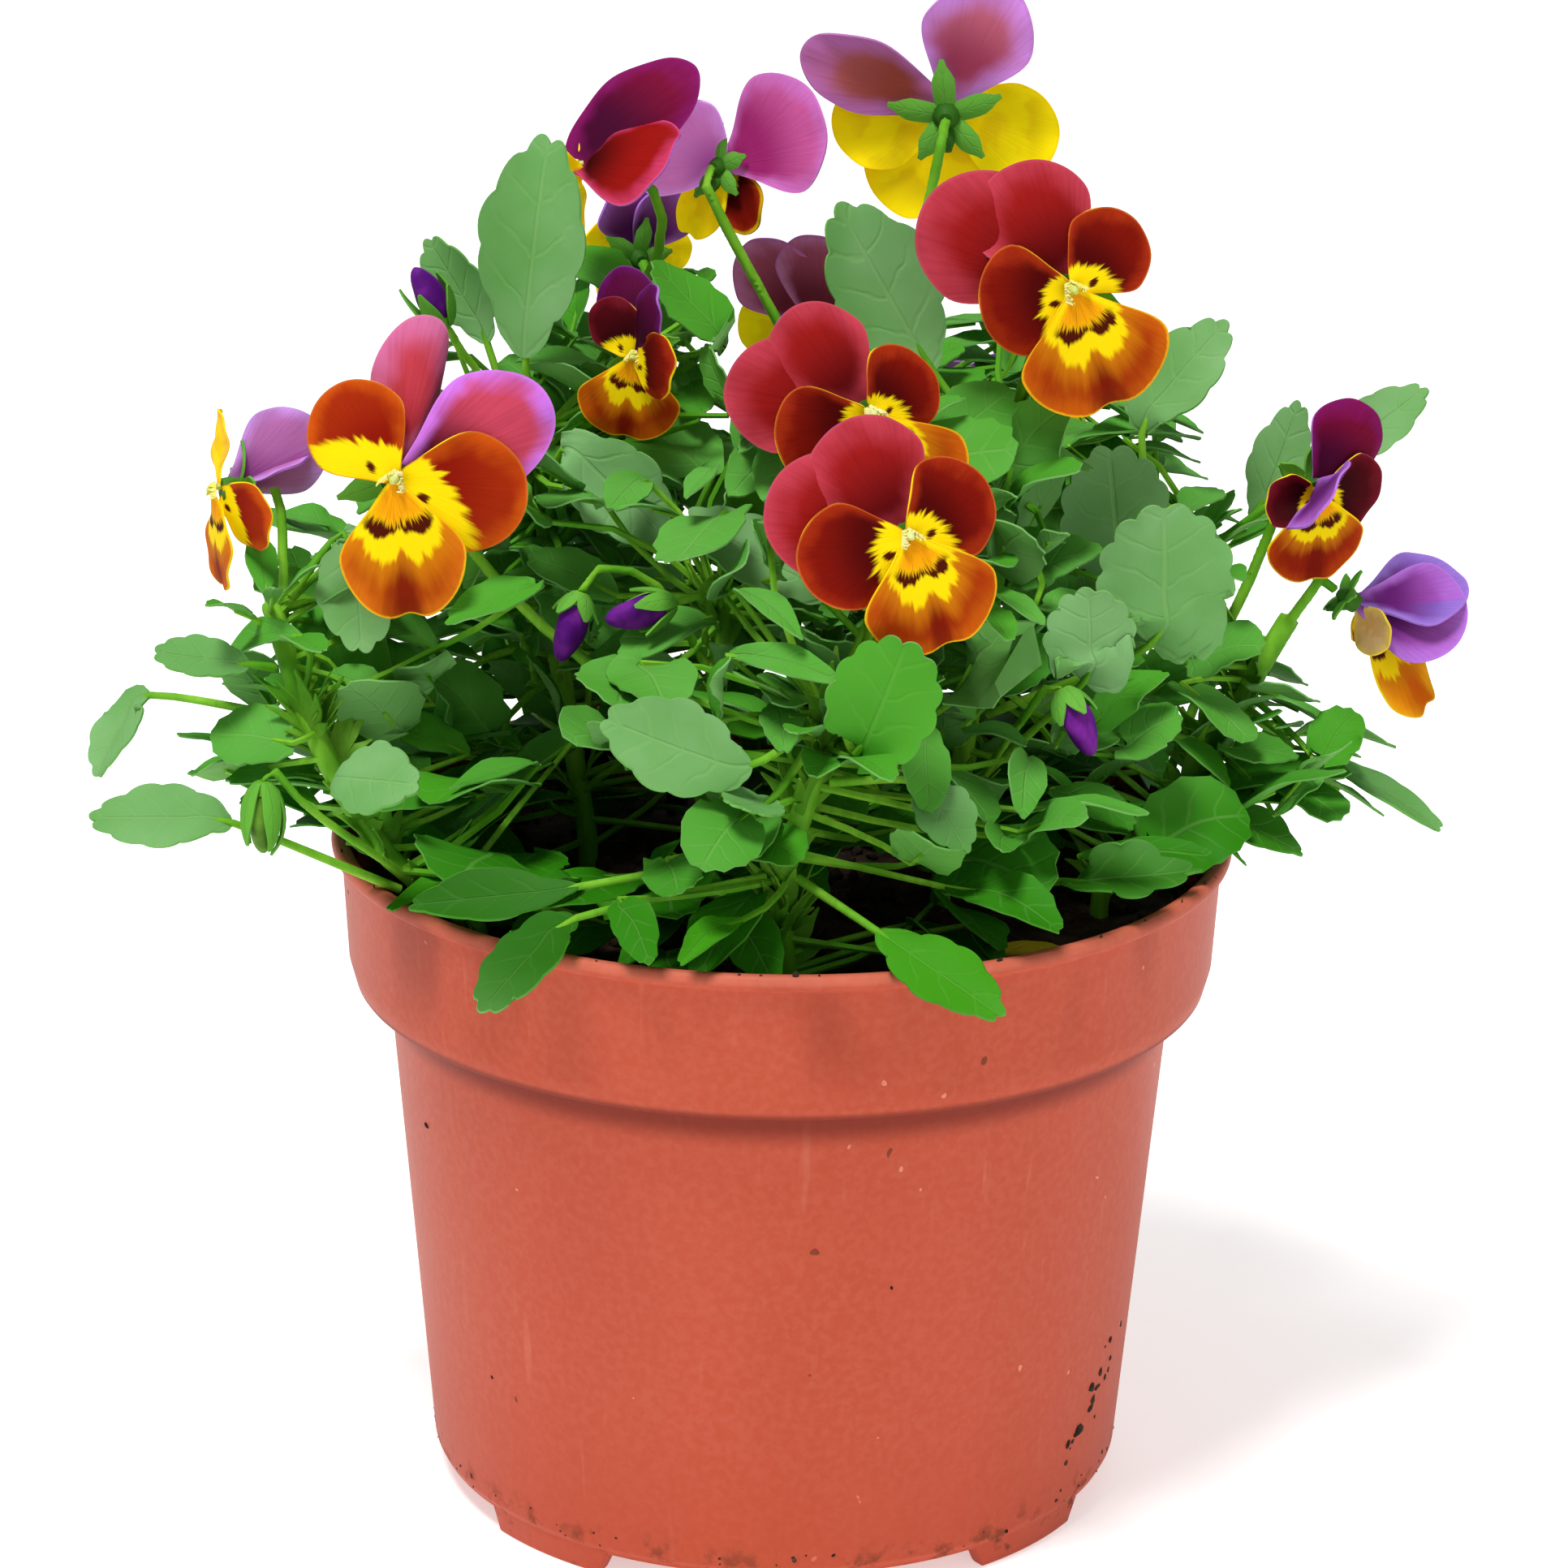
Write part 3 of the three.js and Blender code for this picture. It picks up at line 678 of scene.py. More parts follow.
BRIGHT_LOWER = replace(RUST_LOWER, name="orange lower petal", ground=rgb(180, 74, 8),
                       edge=rgb(212, 112, 20))
ROSE_UPPER = PetalSkin("rose upper petal", rgb(84, 3, 8), rgb(160, 26, 24), rgb(200, 66, 84),
                       rgb(206, 90, 108), margin_share=0.4, deep_reach=(0.15, 0.85),
                       edge_reach=(0.45, 1.1))
PINK_UPPER = PetalSkin("pink upper petal", rgb(120, 12, 16), rgb(196, 62, 76), rgb(216, 112, 160),
                       rgb(222, 140, 170), margin_share=0.4, deep_reach=(0.1, 0.6),
                       edge_reach=(0.35, 0.95))
LILAC_UPPER = PetalSkin("lilac-edged upper petal", rgb(76, 4, 36), rgb(206, 72, 96),
                        rgb(216, 124, 238), rgb(222, 136, 240), margin_share=0.5,
                        deep_reach=(0.2, 0.7), edge_reach=(0.62, 1.05))
RED_UPPER = PetalSkin("red upper petal", rgb(52, 1, 4), rgb(158, 18, 12), rgb(212, 62, 104),
                      rgb(220, 90, 150), margin_share=0.6, deep_reach=(0.1, 0.75),
                      edge_reach=(0.7, 1.05))
PALE_UPPER = PetalSkin("pale lilac upper petal", rgb(150, 60, 150), rgb(200, 120, 190),
                       rgb(222, 162, 248), rgb(228, 176, 250), margin_share=0.4,
                       deep_reach=(0.1, 0.6))
MAGENTA_UPPER = PetalSkin("magenta upper petal", rgb(70, 2, 44), rgb(124, 10, 52),
                          rgb(134, 22, 96), rgb(150, 40, 120), margin_share=0.4)
PURPLE_UPPER = PetalSkin("dark purple upper petal", rgb(60, 4, 34), rgb(92, 8, 60),
                         rgb(104, 20, 100), rgb(150, 80, 160), margin_share=0.5)
PLUM_BACK = replace(PURPLE_UPPER, name="plum back", deep=rgb(104, 34, 50), ground=rgb(156, 70, 98),
                    edge=rgb(184, 108, 156), glow=0.3)
PALE_BACK = replace(PALE_UPPER, name="pale lilac back", deep=rgb(170, 80, 160),
                    ground=rgb(208, 118, 194), edge=rgb(214, 140, 226), glow=0.5)
LILAC_BACK = PetalSkin("lilac back", rgb(108, 36, 120), rgb(176, 92, 196), rgb(190, 118, 224),
                       rgb(204, 140, 240), margin_share=0.3)
BLUE_BACK = replace(LILAC_BACK, name="blue lilac back", ground=rgb(142, 106, 204),
                    edge=rgb(160, 124, 220))
PINK_BACK = PetalSkin("pink back", rgb(160, 40, 110), rgb(206, 92, 160), rgb(210, 116, 200),
                      rgb(210, 140, 206), margin_share=0.3, glow=0.25)
BROWN_BACK = PetalSkin("muted back", rgb(146, 66, 56), rgb(170, 88, 90), rgb(176, 104, 170),
                       rgb(180, 120, 180), margin_share=0.3, edge_reach=(0.4, 1.0), glow=0.24)
ROSE_BACK = replace(BROWN_BACK, name="rose back", deep=rgb(160, 60, 90), ground=rgb(208, 108, 136),
                    edge=rgb(214, 144, 236))
YELLOW_BACK = PetalSkin("yellow back", rgb(236, 206, 8), rgb(246, 222, 10), rgb(250, 226, 10),
                        rgb(236, 200, 16), margin_share=0.5, lines=0.04, blush=0.22, glow=0.32)
YELLOW_UPPER = replace(YELLOW_BACK, name="yellow upper petal", blush=0.2, ground=rgb(226, 190, 30),
                       edge=rgb(206, 160, 60))
TAN_BACK = replace(YELLOW_BACK, name="tan back", deep=rgb(190, 150, 90), ground=rgb(196, 160, 110),
                   edge=rgb(206, 178, 90))
BUD_PETALS = PlainTissue("bud petals", rgb(128, 40, 156), rgb(88, 16, 122))
GREEN_BUD = PlainTissue("green bud", rgb(110, 160, 50), rgb(78, 120, 36))
STIGMA = PlainTissue("stigma", rgb(226, 232, 150), rgb(206, 214, 100))
HAIRS = PlainTissue("throat hairs", rgb(250, 244, 180), rgb(244, 236, 120))


# ---- Mesh tools


def disc(x: float, y: float) -> tuple[float, float]:
    """Moves a place on a square onto the disc inside it."""
    return x * sqrt(1 - y * y / 2), y * sqrt(1 - x * x / 2)


def ease(value: float, low: float, high: float) -> float:
    """Rises smoothly from 0 at low to 1 at high."""
    share = min(max((value - low) / (high - low), 0.0), 1.0)
    return share * share * (3 - 2 * share)


def add_sheet(mesh: BMesh, cells: tuple[int, int], place: Place, maps: tuple[str, str],
              thickness: float, slots: tuple[int, int] = (0, 1), rounded: bool = True) -> None:
    """Adds a thin closed sheet: a grid, bent by a formula and given a thickness.

    Args:
        mesh: the mesh that it is added to.
        cells: the grid's faces across and along.
        place: gives a point and its two map places from a grid place between -1 and 1.
        maps: names of the two UV maps.
        thickness: how far the back lies behind the front.
        slots: material slots of the front, and of the back and edge.
        rounded: draws the sheet on a disc instead of a square.
    """
    layers = [mesh.loops.layers.uv.get(name) or mesh.loops.layers.uv.new(name) for name in maps]
    made = bmesh.ops.create_grid(mesh, x_segments=cells[0], y_segments=cells[1], size=1.0)
    spots = {}
    for vert in made["verts"]:
        x, y = disc(vert.co.x, vert.co.y) if rounded else (vert.co.x, vert.co.y)
        vert.co, *spots[vert] = place(x, y)
    faces = list(dict.fromkeys(face for vert in made["verts"] for face in vert.link_faces))
    for face in faces:
        face.material_index = slots[0]
        for loop in face.loops:
            for layer, spot in zip(layers, spots[loop.vert]):
                loop[layer].uv = spot
    mesh.normal_update()
    normals = {tuple(vert.co): vert.normal.copy() for vert in made["verts"]}
    grown = bmesh.ops.extrude_face_region(mesh, geom=faces, use_keep_orig=True)["geom"]
    behind = [item for item in grown if isinstance(item, BMVert)]
    around = {face for vert in behind for face in vert.link_faces} - set(faces)
    for vert in behind:
        vert.co -= normals[tuple(vert.co)] * thickness
    for face in around:
        face.material_index = slots[1]
    bmesh.ops.recalc_face_normals(mesh, faces=faces + list(around))


def astray(reach: float) -> Vector:
    """Draws a level step of up to reach along each axis."""
    return Vector((between(-reach, reach), between(-reach, reach), 0))


def axes_matrix(x: Vector, y: Vector, z: Vector, origin: Vector) -> Matrix:
    """Gives the matrix whose axes are three vectors and whose origin is a fourth."""
    matrix = Matrix((x, y, z)).transposed().to_4x4()
    matrix.translation = origin
    return matrix


def bearing(angle: float) -> Vector:
    """Returns the level direction at an angle from +X."""
    return Vector((cos(angle), sin(angle), 0.0))


def ring_matrix(middle: Vector, way: Vector, hint: Vector, radius: float) -> Matrix:
    """Gives the place of a tube's ring.

    Args:
        middle: the ring's middle.
        way: the direction that the tube runs in there.
        hint: a direction that the ring's first point keeps near to.
        radius: the ring's radius.

    Returns:
        The matrix that carries a ring of radius 1 there.
    """
    side = hint - way * hint.dot(way)
    side.normalize()
    return axes_matrix(side * radius, way.cross(side) * radius, way * radius, middle)


def grow_rim(mesh: BMesh, edges: list[BMEdge]) -> tuple[list[BMVert], list[BMEdge]]:
    """Extrudes a closed rim where it stands.

    Args:
        mesh: the mesh that it belongs to.
        edges: the rim.

    Returns:
        The new rim's points and edges, in the same place.
    """
    grown = bmesh.ops.extrude_edge_only(mesh, edges=edges)["geom"]
    verts = [item for item in grown if isinstance(item, BMVert)]
    rim = set(verts).issuperset
    return verts, [item for item in grown if isinstance(item, BMEdge) and rim(item.verts)]


def add_tube(mesh: BMesh, line: Sequence[Vector], radii: Sequence[float], sides: int,
             slot: int = 0) -> None:
    """Adds a closed tube along a line of points, extruded ring by ring.

    Args:
        mesh: the mesh that it is added to.
        line: the tube's middle points.
        radii: its radius at each point.
        sides: faces round it.
        slot: its material slot.
    """
    ways = [(line[min(i + 1, len(line) - 1)] - line[max(i - 1, 0)]).normalized()
            for i in range(len(line))]
    hint = UP if abs(ways[0].z) < 0.9 else Vector((0.0, -1.0, 0.0))
    start = ring_matrix(line[0], ways[0], hint, radii[0])
    made = bmesh.ops.create_circle(mesh, cap_ends=True, segments=sides, radius=1.0, matrix=start)
    faces = {face for vert in made["verts"] for face in vert.link_faces}
    edges = list(dict.fromkeys(edge for vert in made["verts"] for edge in vert.link_edges))
    before = start
    for i in range(1, len(line)):
        verts, edges = grow_rim(mesh, edges)
        hint = Vector(before.col[0][:3]).normalized()
        after = ring_matrix(line[i], ways[i], hint, radii[i])
        bmesh.ops.transform(mesh, matrix=after @ before.inverted(), verts=verts)
        before = after
        faces |= {face for vert in verts for face in vert.link_faces}
    cap = bmesh.ops.contextual_create(mesh, geom=edges)["faces"]
    faces = [face for face in faces | set(cap) if face.is_valid]
    for face in faces:
        face.material_index = slot
    bmesh.ops.recalc_face_normals(mesh, faces=faces)


@dataclass(frozen=True)
class Spine:
    """A smooth line through a few points, measured along its length."""

    points: tuple[Vector, ...]
    marks: tuple[float, ...]

    @classmethod
    def through(cls, knots: Sequence[Vector], steps: int = 8) -> Spine:
        """Draws the line.

        Args:
            knots: the points that it passes.
            steps: straight steps between two knots.

        Returns:
            The line.
        """
        ends = [2 * knots[0] - knots[1], *knots, 2 * knots[-1] - knots[-2]]
        points = []
        for a, b, c, d in zip(ends, ends[1:], ends[2:], ends[3:]):
            for i in range(steps):
                t = i / steps
                points.append(0.5 * (2 * b + (c - a) * t + (2 * a - 5 * b + 4 * c - d) * t ** 2
                                     + (3 * b - a - 3 * c + d) * t ** 3))
        points.append(knots[-1].copy())
        marks = [0.0]
        for a, b in zip(points, points[1:]):
            marks.append(marks[-1] + (b - a).length)
        return cls(tuple(points), tuple(marks))

    @property
    def length(self) -> float:
        """The line's length."""
        return self.marks[-1]

    def at(self, share: float) -> tuple[Vector, Vector]:
        """Finds a place on the line.

        Args:
            share: the share of its length from the start, which may pass either end.

        Returns:
            The point and the direction there.
        """
        goal = share * self.length
        index = 0
        while index < len(self.marks) - 2 and self.marks[index + 1] < goal:
            index += 1
        a, b = self.points[index], self.points[index + 1]
        way = (b - a).normalized()
        return a + way * (goal - self.marks[index]), way


def add_object(name: str, mesh: BMesh) -> Object:
    """Puts an object in the scene.

    Args:
        name: its name.
        mesh: its mesh, which is used up.

    Returns:
        The object.
    """
    data = bpy.data.meshes.new(name)
    mesh.to_mesh(data)
    mesh.free()
    made = bpy.data.objects.new(name, data)
    bpy.context.scene.collection.objects.link(made)
    return made


def modified(blank: Object) -> BMesh:
    """Takes the shape that an object's modifiers give it, and removes the object.

    Args:
        blank: the object.

    Returns:
        The shape.
    """
    seen = blank.evaluated_get(bpy.context.evaluated_depsgraph_get())
    mesh = bmesh.new()
    mesh.from_mesh(seen.to_mesh())
    seen.to_mesh_clear()
    bpy.data.objects.remove(blank)
    return mesh


def joined_tree(pieces: Iterable[Object]) -> BVHTree:
    """Joins pieces into one tree that other shapes are tested against.

    Args:
        pieces: the pieces.

    Returns:
        The tree.
    """
    verts, polygons = [], []
    for piece in pieces:
        first = len(verts)
        verts += [vert.co.copy() for vert in piece.data.vertices]
        polygons += [[first + i for i in polygon.vertices] for polygon in piece.data.polygons]
    return BVHTree.FromPolygons(verts, polygons)


def make_piece(name: str, mesh: BMesh, finishes: Sequence[Finish],
               replaces: Iterable[str] = (), sharp: float = 55.0) -> Object:
    """Makes a piece of the planter from a mesh and puts it on its body.

    Args:
        name: the piece's name.
        mesh: its mesh, which is used up.
        finishes: the finishes of its material slots.
        replaces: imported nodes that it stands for.
        sharp: the angle past which an edge stays crisp, in degrees.

    Returns:
        The piece.
    """
    piece = add_object(name, mesh)
    data = piece.data
    for finish in finishes:
        data.materials.append(finish.material())
    data.polygons.foreach_set("use_smooth", [True] * len(data.polygons))
    data.set_sharp_from_angle(angle=radians(sharp))
    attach(piece, "root")
    if replaces:
        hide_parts(*replaces)
    LOG.info("%s: %d faces", name, len(data.polygons))
    return piece


def node_mesh(node: str) -> BMesh:
    """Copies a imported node's mesh and merges its loose triangles.

    Args:
        node: the node's name.

    Returns:
        The merged copy.
    """
    mesh = bmesh.new()
    mesh.from_mesh(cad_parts[node].data)
    bmesh.ops.remove_doubles(mesh, verts=mesh.verts, dist=1e-6)
    mesh.verts.ensure_lookup_table()
    return mesh


# ---- How a node lies


@dataclass(frozen=True)
class Lie:
    """How a node lies: its middle, its three axes and how far it spreads along each.

    The axes run from the least spread to the largest, and each points to the side where the
    solid's surface thins out.
    """

    middle: Vector
    axes: tuple[Vector, Vector, Vector]
    spread: tuple[float, float, float]

    @classmethod
    def of(cls, node: str) -> Lie:
        """Measures a node by the moments of its surface.

        Args:
            node: the node's name.

        Returns:
            How it lies.
        """
        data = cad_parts[node].data
        data.calc_loop_triangles()
        corners = np.array([[data.vertices[i].co[:] for i in t.vertices]
                            for t in data.loop_triangles])
        crossed = np.cross(corners[:, 1] - corners[:, 0], corners[:, 2] - corners[:, 0])
        areas = np.linalg.norm(crossed, axis=1) / 2
        shares = areas / areas.sum()
        middle = (corners.mean(axis=1) * shares[:, None]).sum(axis=0)
        corners = corners - middle
        total = corners.sum(axis=1)
        second = np.einsum("n,ni,nj->ij", shares, total, total)
        second += np.einsum("n,nki,nkj->ij", shares, corners, corners)
        spread, axes = np.linalg.eigh(second / 12)
        found = []
        for axis in axes.T:
            x, y, z = (corners @ axis).T
            cube = x ** 3 + y ** 3 + z ** 3 + x * y * z
            cube += x * x * (y + z) + y * y * (x + z) + z * z * (x + y)
            found.append(Vector(axis * (1.0 if (cube * shares).sum() >= 0 else -1.0)))
        return cls(Vector(middle), tuple(found), tuple(float(s) ** 0.5 for s in spread))


FLOWER_SPREAD = 7.4723 * MM  # the pattern flower's largest spread
FLOWER_MIDDLE = Vector((0.0, 2.544, -1.290))  # its surface's middle, from its heart
FLOWER_LEAN = radians(7.7)  # how far its flattest axis leans from its face


def flower_matrix(node: str) -> Matrix:
    """Finds where a flower's heart is and how it faces.

    Args:
        node: the flower's node.

    Returns:
        The matrix that carries millimetres on the pattern flower, which faces +Z with its
        top at +Y, to its place.
    """
    lie = Lie.of(node)
    face, top = -lie.axes[0], -lie.axes[2]
    face, top = (face * cos(FLOWER_LEAN) - top * sin(FLOWER_LEAN),
                 top * cos(FLOWER_LEAN) + face * sin(FLOWER_LEAN))
    scale = lie.spread[2] / FLOWER_SPREAD * MM
    matrix = axes_matrix(top.cross(face), top, face, Vector()) @ Matrix.Scale(scale, 4)
    matrix.translation = lie.middle - (matrix.to_3x3() @ FLOWER_MIDDLE)
    return matrix


@dataclass(frozen=True)
class LeafLie:
    """How a leaf's node lies: its middle line and width, and the way its upper side looks.

    start is the share of the line where the petiole ends and the blade starts.
    """

    spine: Spine
    start: float
    width: float
    face: Vector

    @classmethod
    def of(cls, node: str) -> LeafLie:
        """Reads the rings of the leaf's solid, from the petiole's end to the tip.

        Args:
            node: the leaf's node.

        Returns:
            How it lies.
        """
        mesh = node_mesh(node)
        places = np.array([vert.co[:] for vert in mesh.verts])
        gaps = np.linalg.norm(places[:, None] - places[None], axis=2)
        near = np.sort(gaps, axis=1)[:, 5]
        rings = []
        for seed in np.argsort(near):
            rings = leaf_rings([mesh.verts[i] for i in np.argsort(gaps[seed])[:6]])
            if all(len(ring) == 6 for ring in rings):
                break
        knots, widths = [], []
        for ring in rings:
            across = ring_side(ring)
            reach = [vert.co.dot(across) for vert in ring]
            edge = sorted(ring, key=lambda vert: vert.co.dot(across))
            middle = (edge[2].co + edge[3].co) / 2
            knots.append(middle)
            widths.append(max(reach) - min(reach))
        widest = max(range(1, len(rings)), key=lambda i: widths[i])
        ring = rings[widest]
        face = sum((vert.co for vert in ring), Vector()) / len(ring) - knots[widest]
        along = knots[min(widest + 1, len(knots) - 1)] - knots[widest - 1]
        side = ring_side(ring)
        normal = side.cross(along).normalized()
        normal *= 1.0 if normal.dot(face) > 0 else -1.0
        spine = Spine.through([knots[0], knots[1], knots[3], knots[-1]])
        petiole = (knots[1] - knots[0]).length
        mesh.free()
        return cls(spine, petiole / spine.length, widths[widest], normal)


def leaf_rings(cap: list[BMVert]) -> list[list[BMVert]]:
    """Walks a box-like solid ring by ring.

    Args:
        cap: the points of one end.

    Returns:
        The rings, of which the first is the cap.
    """
    seen, rings = set(cap), [cap]
    while True:
        ahead = {edge.other_vert(vert) for vert in rings[-1] for edge in vert.link_edges} - seen
        if not ahead:
            return rings
        rings.append(list(ahead))
        seen |= ahead


def ring_side(ring: Sequence[BMVert]) -> Vector:
    """Returns the direction in which a ring of points is widest."""
    places = np.array([vert.co[:] for vert in ring])
    return Vector(np.linalg.svd(places - places.mean(axis=0))[2][0])


# ---- Pot


@dataclass
class Pot:
    """The nursery pot: rolled lip, stepped collar, tapering body and low feet."""

    lip: float = 60.0 * MM
    height: float = 91.0 * MM
    wall: float = 1.2 * MM
    collar_top: float = 58.6 * MM
    collar_low: float = 57.8 * MM
    collar_base: float = 71.0 * MM
    bevel: float = 3.4 * MM
    bevel_depth: float = 0.9 * MM
    body_top: float = 52.6 * MM
    body_low: float = 46.9 * MM
    ridge: float = 4.6 * MM
    floor: float = 4.0 * MM
    foot_in: float = 43.2 * MM
    foot_out: float = 45.8 * MM
    steps: int = 192
    notches: int = 4
    notch_degrees: float = 66.0
    notch_turn: float = -86.0
    notch_height: float = 3.0 * MM
    holes: int = 6
    hole_circle: float = 30.0 * MM
    hole_radius: float = 4.0 * MM
    smear: int = 26  # crumbs in the smear of dirt low on the front
    ring: int = 70  # crumbs round the foot, and as many round the lip
    crumbs: tuple[tuple[float, float, float], ...] = (  # angle, height and size, in mm
        (-154, 56, 0.7), (-24, 69.5, 0.6), (-27, 69.0, 0.4), (-73, 45, 0.3), (-140, 24, 0.3),
        (-159, 73, 0.35))

    def outline(self) -> list[tuple[float, float]]:
        """Returns the pot's section as radius and height, from the floor's underside round."""
        low = self.height - 2.2 * MM
        step = self.collar_base + self.wall
        return [
            (0.0, self.floor), (self.foot_in, self.floor), (self.foot_in + 0.4 * MM, 0.0),
            (self.foot_out, 0.0), (self.foot_out + 0.5 * MM, self.ridge - 0.8 * MM),
            (self.body_low, self.ridge), (self.body_top, self.collar_base),
            (self.collar_low - self.bevel_depth, self.collar_base),
            (self.collar_low, self.collar_base + self.bevel), (self.collar_top, low),
            (self.lip - 0.3 * MM, low + 0.3 * MM), (self.lip, self.height - 1.1 * MM),
            (self.lip - 0.4 * MM, self.height - 0.2 * MM), (self.lip - MM, self.height),
            (self.collar_top - self.wall + 0.3 * MM, self.height - 0.3 * MM),
            (self.collar_top - self.wall, low), (self.collar_low - self.wall, step + self.bevel),
            (self.collar_low - self.wall - self.bevel_depth, step),
            (self.body_top - self.wall, step), (self.body_low - self.wall, self.floor + self.wall),
            (0.0, self.floor + self.wall),
        ]

    def shell(self) -> BMesh:
        """Turns the section round the axis, rounds its corners and cuts the feet apart.

        Returns:
            The pot without its drain holes.
        """
        mesh = bmesh.new()
        verts = [mesh.verts.new((radius, 0.0, z)) for radius, z in self.outline()]
        edges = [bmesh.ops.contextual_create(mesh, geom=pair)["edges"][0]
                 for pair in ([a, b] for a, b in zip(verts, verts[1:]))]
        bmesh.ops.spin(mesh, geom=verts + edges, cent=(0, 0, 0), axis=(0, 0, 1), dvec=(0, 0, 0),
                       angle=2 * pi, steps=self.steps, use_merge=True, use_duplicate=False)
        bmesh.ops.remove_doubles(mesh, verts=mesh.verts, dist=1e-6)
        bmesh.ops.recalc_face_normals(mesh, faces=mesh.faces)
        for vert in mesh.verts:
            if vert.co.z < 0.1 * MM and self.in_notch(vert.co):
                vert.co.z = self.notch_height
        rings = [edge for edge in mesh.edges
                 if abs(edge.verts[0].co.z - edge.verts[1].co.z) < 1e-7
                 and len(edge.link_faces) == 2 and edge.calc_face_angle() > radians(18)
                 and edge.verts[0].co.xy.length > 0.02
                 and abs(edge.verts[0].co.xy.length - edge.verts[1].co.xy.length) < 1e-6]
        bmesh.ops.bevel(mesh, geom=rings, offset=0.32 * MM, affect="EDGES", segments=2,
                        profile=0.5, material=-1, clamp_overlap=True)
        return mesh

    def in_notch(self, place: Vector) -> bool:
        """Says whether a place lies in a gap between two feet."""
        turn = degrees(atan2(place.y, place.x)) - self.notch_turn
        off = (turn + 180 / self.notches) % (360 / self.notches) - 180 / self.notches
        return abs(off) < self.notch_degrees / 2

    def build(self) -> Object:
        """Builds the pot.

        Returns:
            The piece, which stands for the pot's node.
        """
        cutter = bmesh.new()
        for i in range(self.holes):
            turn = Matrix.Rotation(2 * pi * i / self.holes, 4, "Z")
            spot = turn @ Matrix.Translation((self.hole_circle, 0.0, self.floor + self.wall / 2))
            bmesh.ops.create_cone(cutter, cap_ends=True, segments=40, radius1=self.hole_radius,
                                  radius2=self.hole_radius, depth=4 * self.wall, matrix=spot)
        tool = add_object("drain cutter", cutter)
        blank = add_object("pot blank", self.shell())
        cut = blank.modifiers.new("drain holes", "BOOLEAN")
        cut.operation, cut.solver, cut.object = "DIFFERENCE", "EXACT", tool
        mesh = modified(blank)
        bpy.data.objects.remove(tool)
        return make_piece("pot_shell", mesh, [PLASTIC], ["pot"], 40.0)

    def dirt(self) -> Object:
        """Sticks crumbs of soil to the pot's wall, ridge and lip.

        Returns:
            The crumbs as one piece.
        """
        mesh = bmesh.new()
        spots = []
        for _ in range(self.smear):
            share = CHANCE.random()
            turn = -34 + 14 * share + CHANCE.gauss(0, 1.6)
            spots.append((turn, 12 + 13 * share + CHANCE.gauss(0, 1.2), between(0.25, 0.95)))
        for _ in range(self.ring):
            spots.append((between(-180, 180), between(4.4, 7.0), between(0.12, 0.4)))
        for turn, level, size in (*spots, *self.crumbs):
            z = level * MM
            share = (z - self.ridge) / (self.collar_base - self.ridge)
            radius = self.body_low + (self.body_top - self.body_low) * max(share, 0.0)
            if z > self.collar_base:
                radius = self.collar_low - self.bevel_depth * 0.7
            out = bearing(radians(turn))
            add_crumb(mesh, out * radius + UP * z, size * MM, out)
        for _ in range(self.ring):
            out = bearing(between(-pi, pi))
            radius = CHANCE.choice((self.collar_top - self.wall - 0.1 * MM, self.lip - 0.8 * MM))
            z = self.height if radius > self.collar_top else between(81.5, 89.5) * MM
            add_crumb(mesh, out * radius + UP * z, between(0.2, 0.6) * MM, out)
        return make_piece("pot_soil_flecks", mesh, [COMPOST])


def add_crumb(mesh: BMesh, place: Vector, size: float, flat: Vector | None = None) -> None:
    """Adds a crumb of soil.

    Args:
        mesh: the mesh that it is added to.
        place: its middle.
        size: its radius.
        flat: a direction in which it is pressed flat.
    """
    made = bmesh.ops.create_icosphere(mesh, subdivisions=1, radius=size)
    stretch = Vector((between(0.7, 1.3), between(0.7, 1.3), between(0.5, 1.1)))
    turn = Matrix.Rotation(between(0, 6.3), 3, "Z") @ Matrix.Rotation(between(0, 6.3), 3, "X")
    for vert in made["verts"]:
        spot = turn @ Vector([c * s * between(0.75, 1.2) for c, s in zip(vert.co, stretch)])
        if flat is not None:
            spot -= flat * spot.dot(flat) * 0.65
        vert.co = place + spot


# ---- Soil


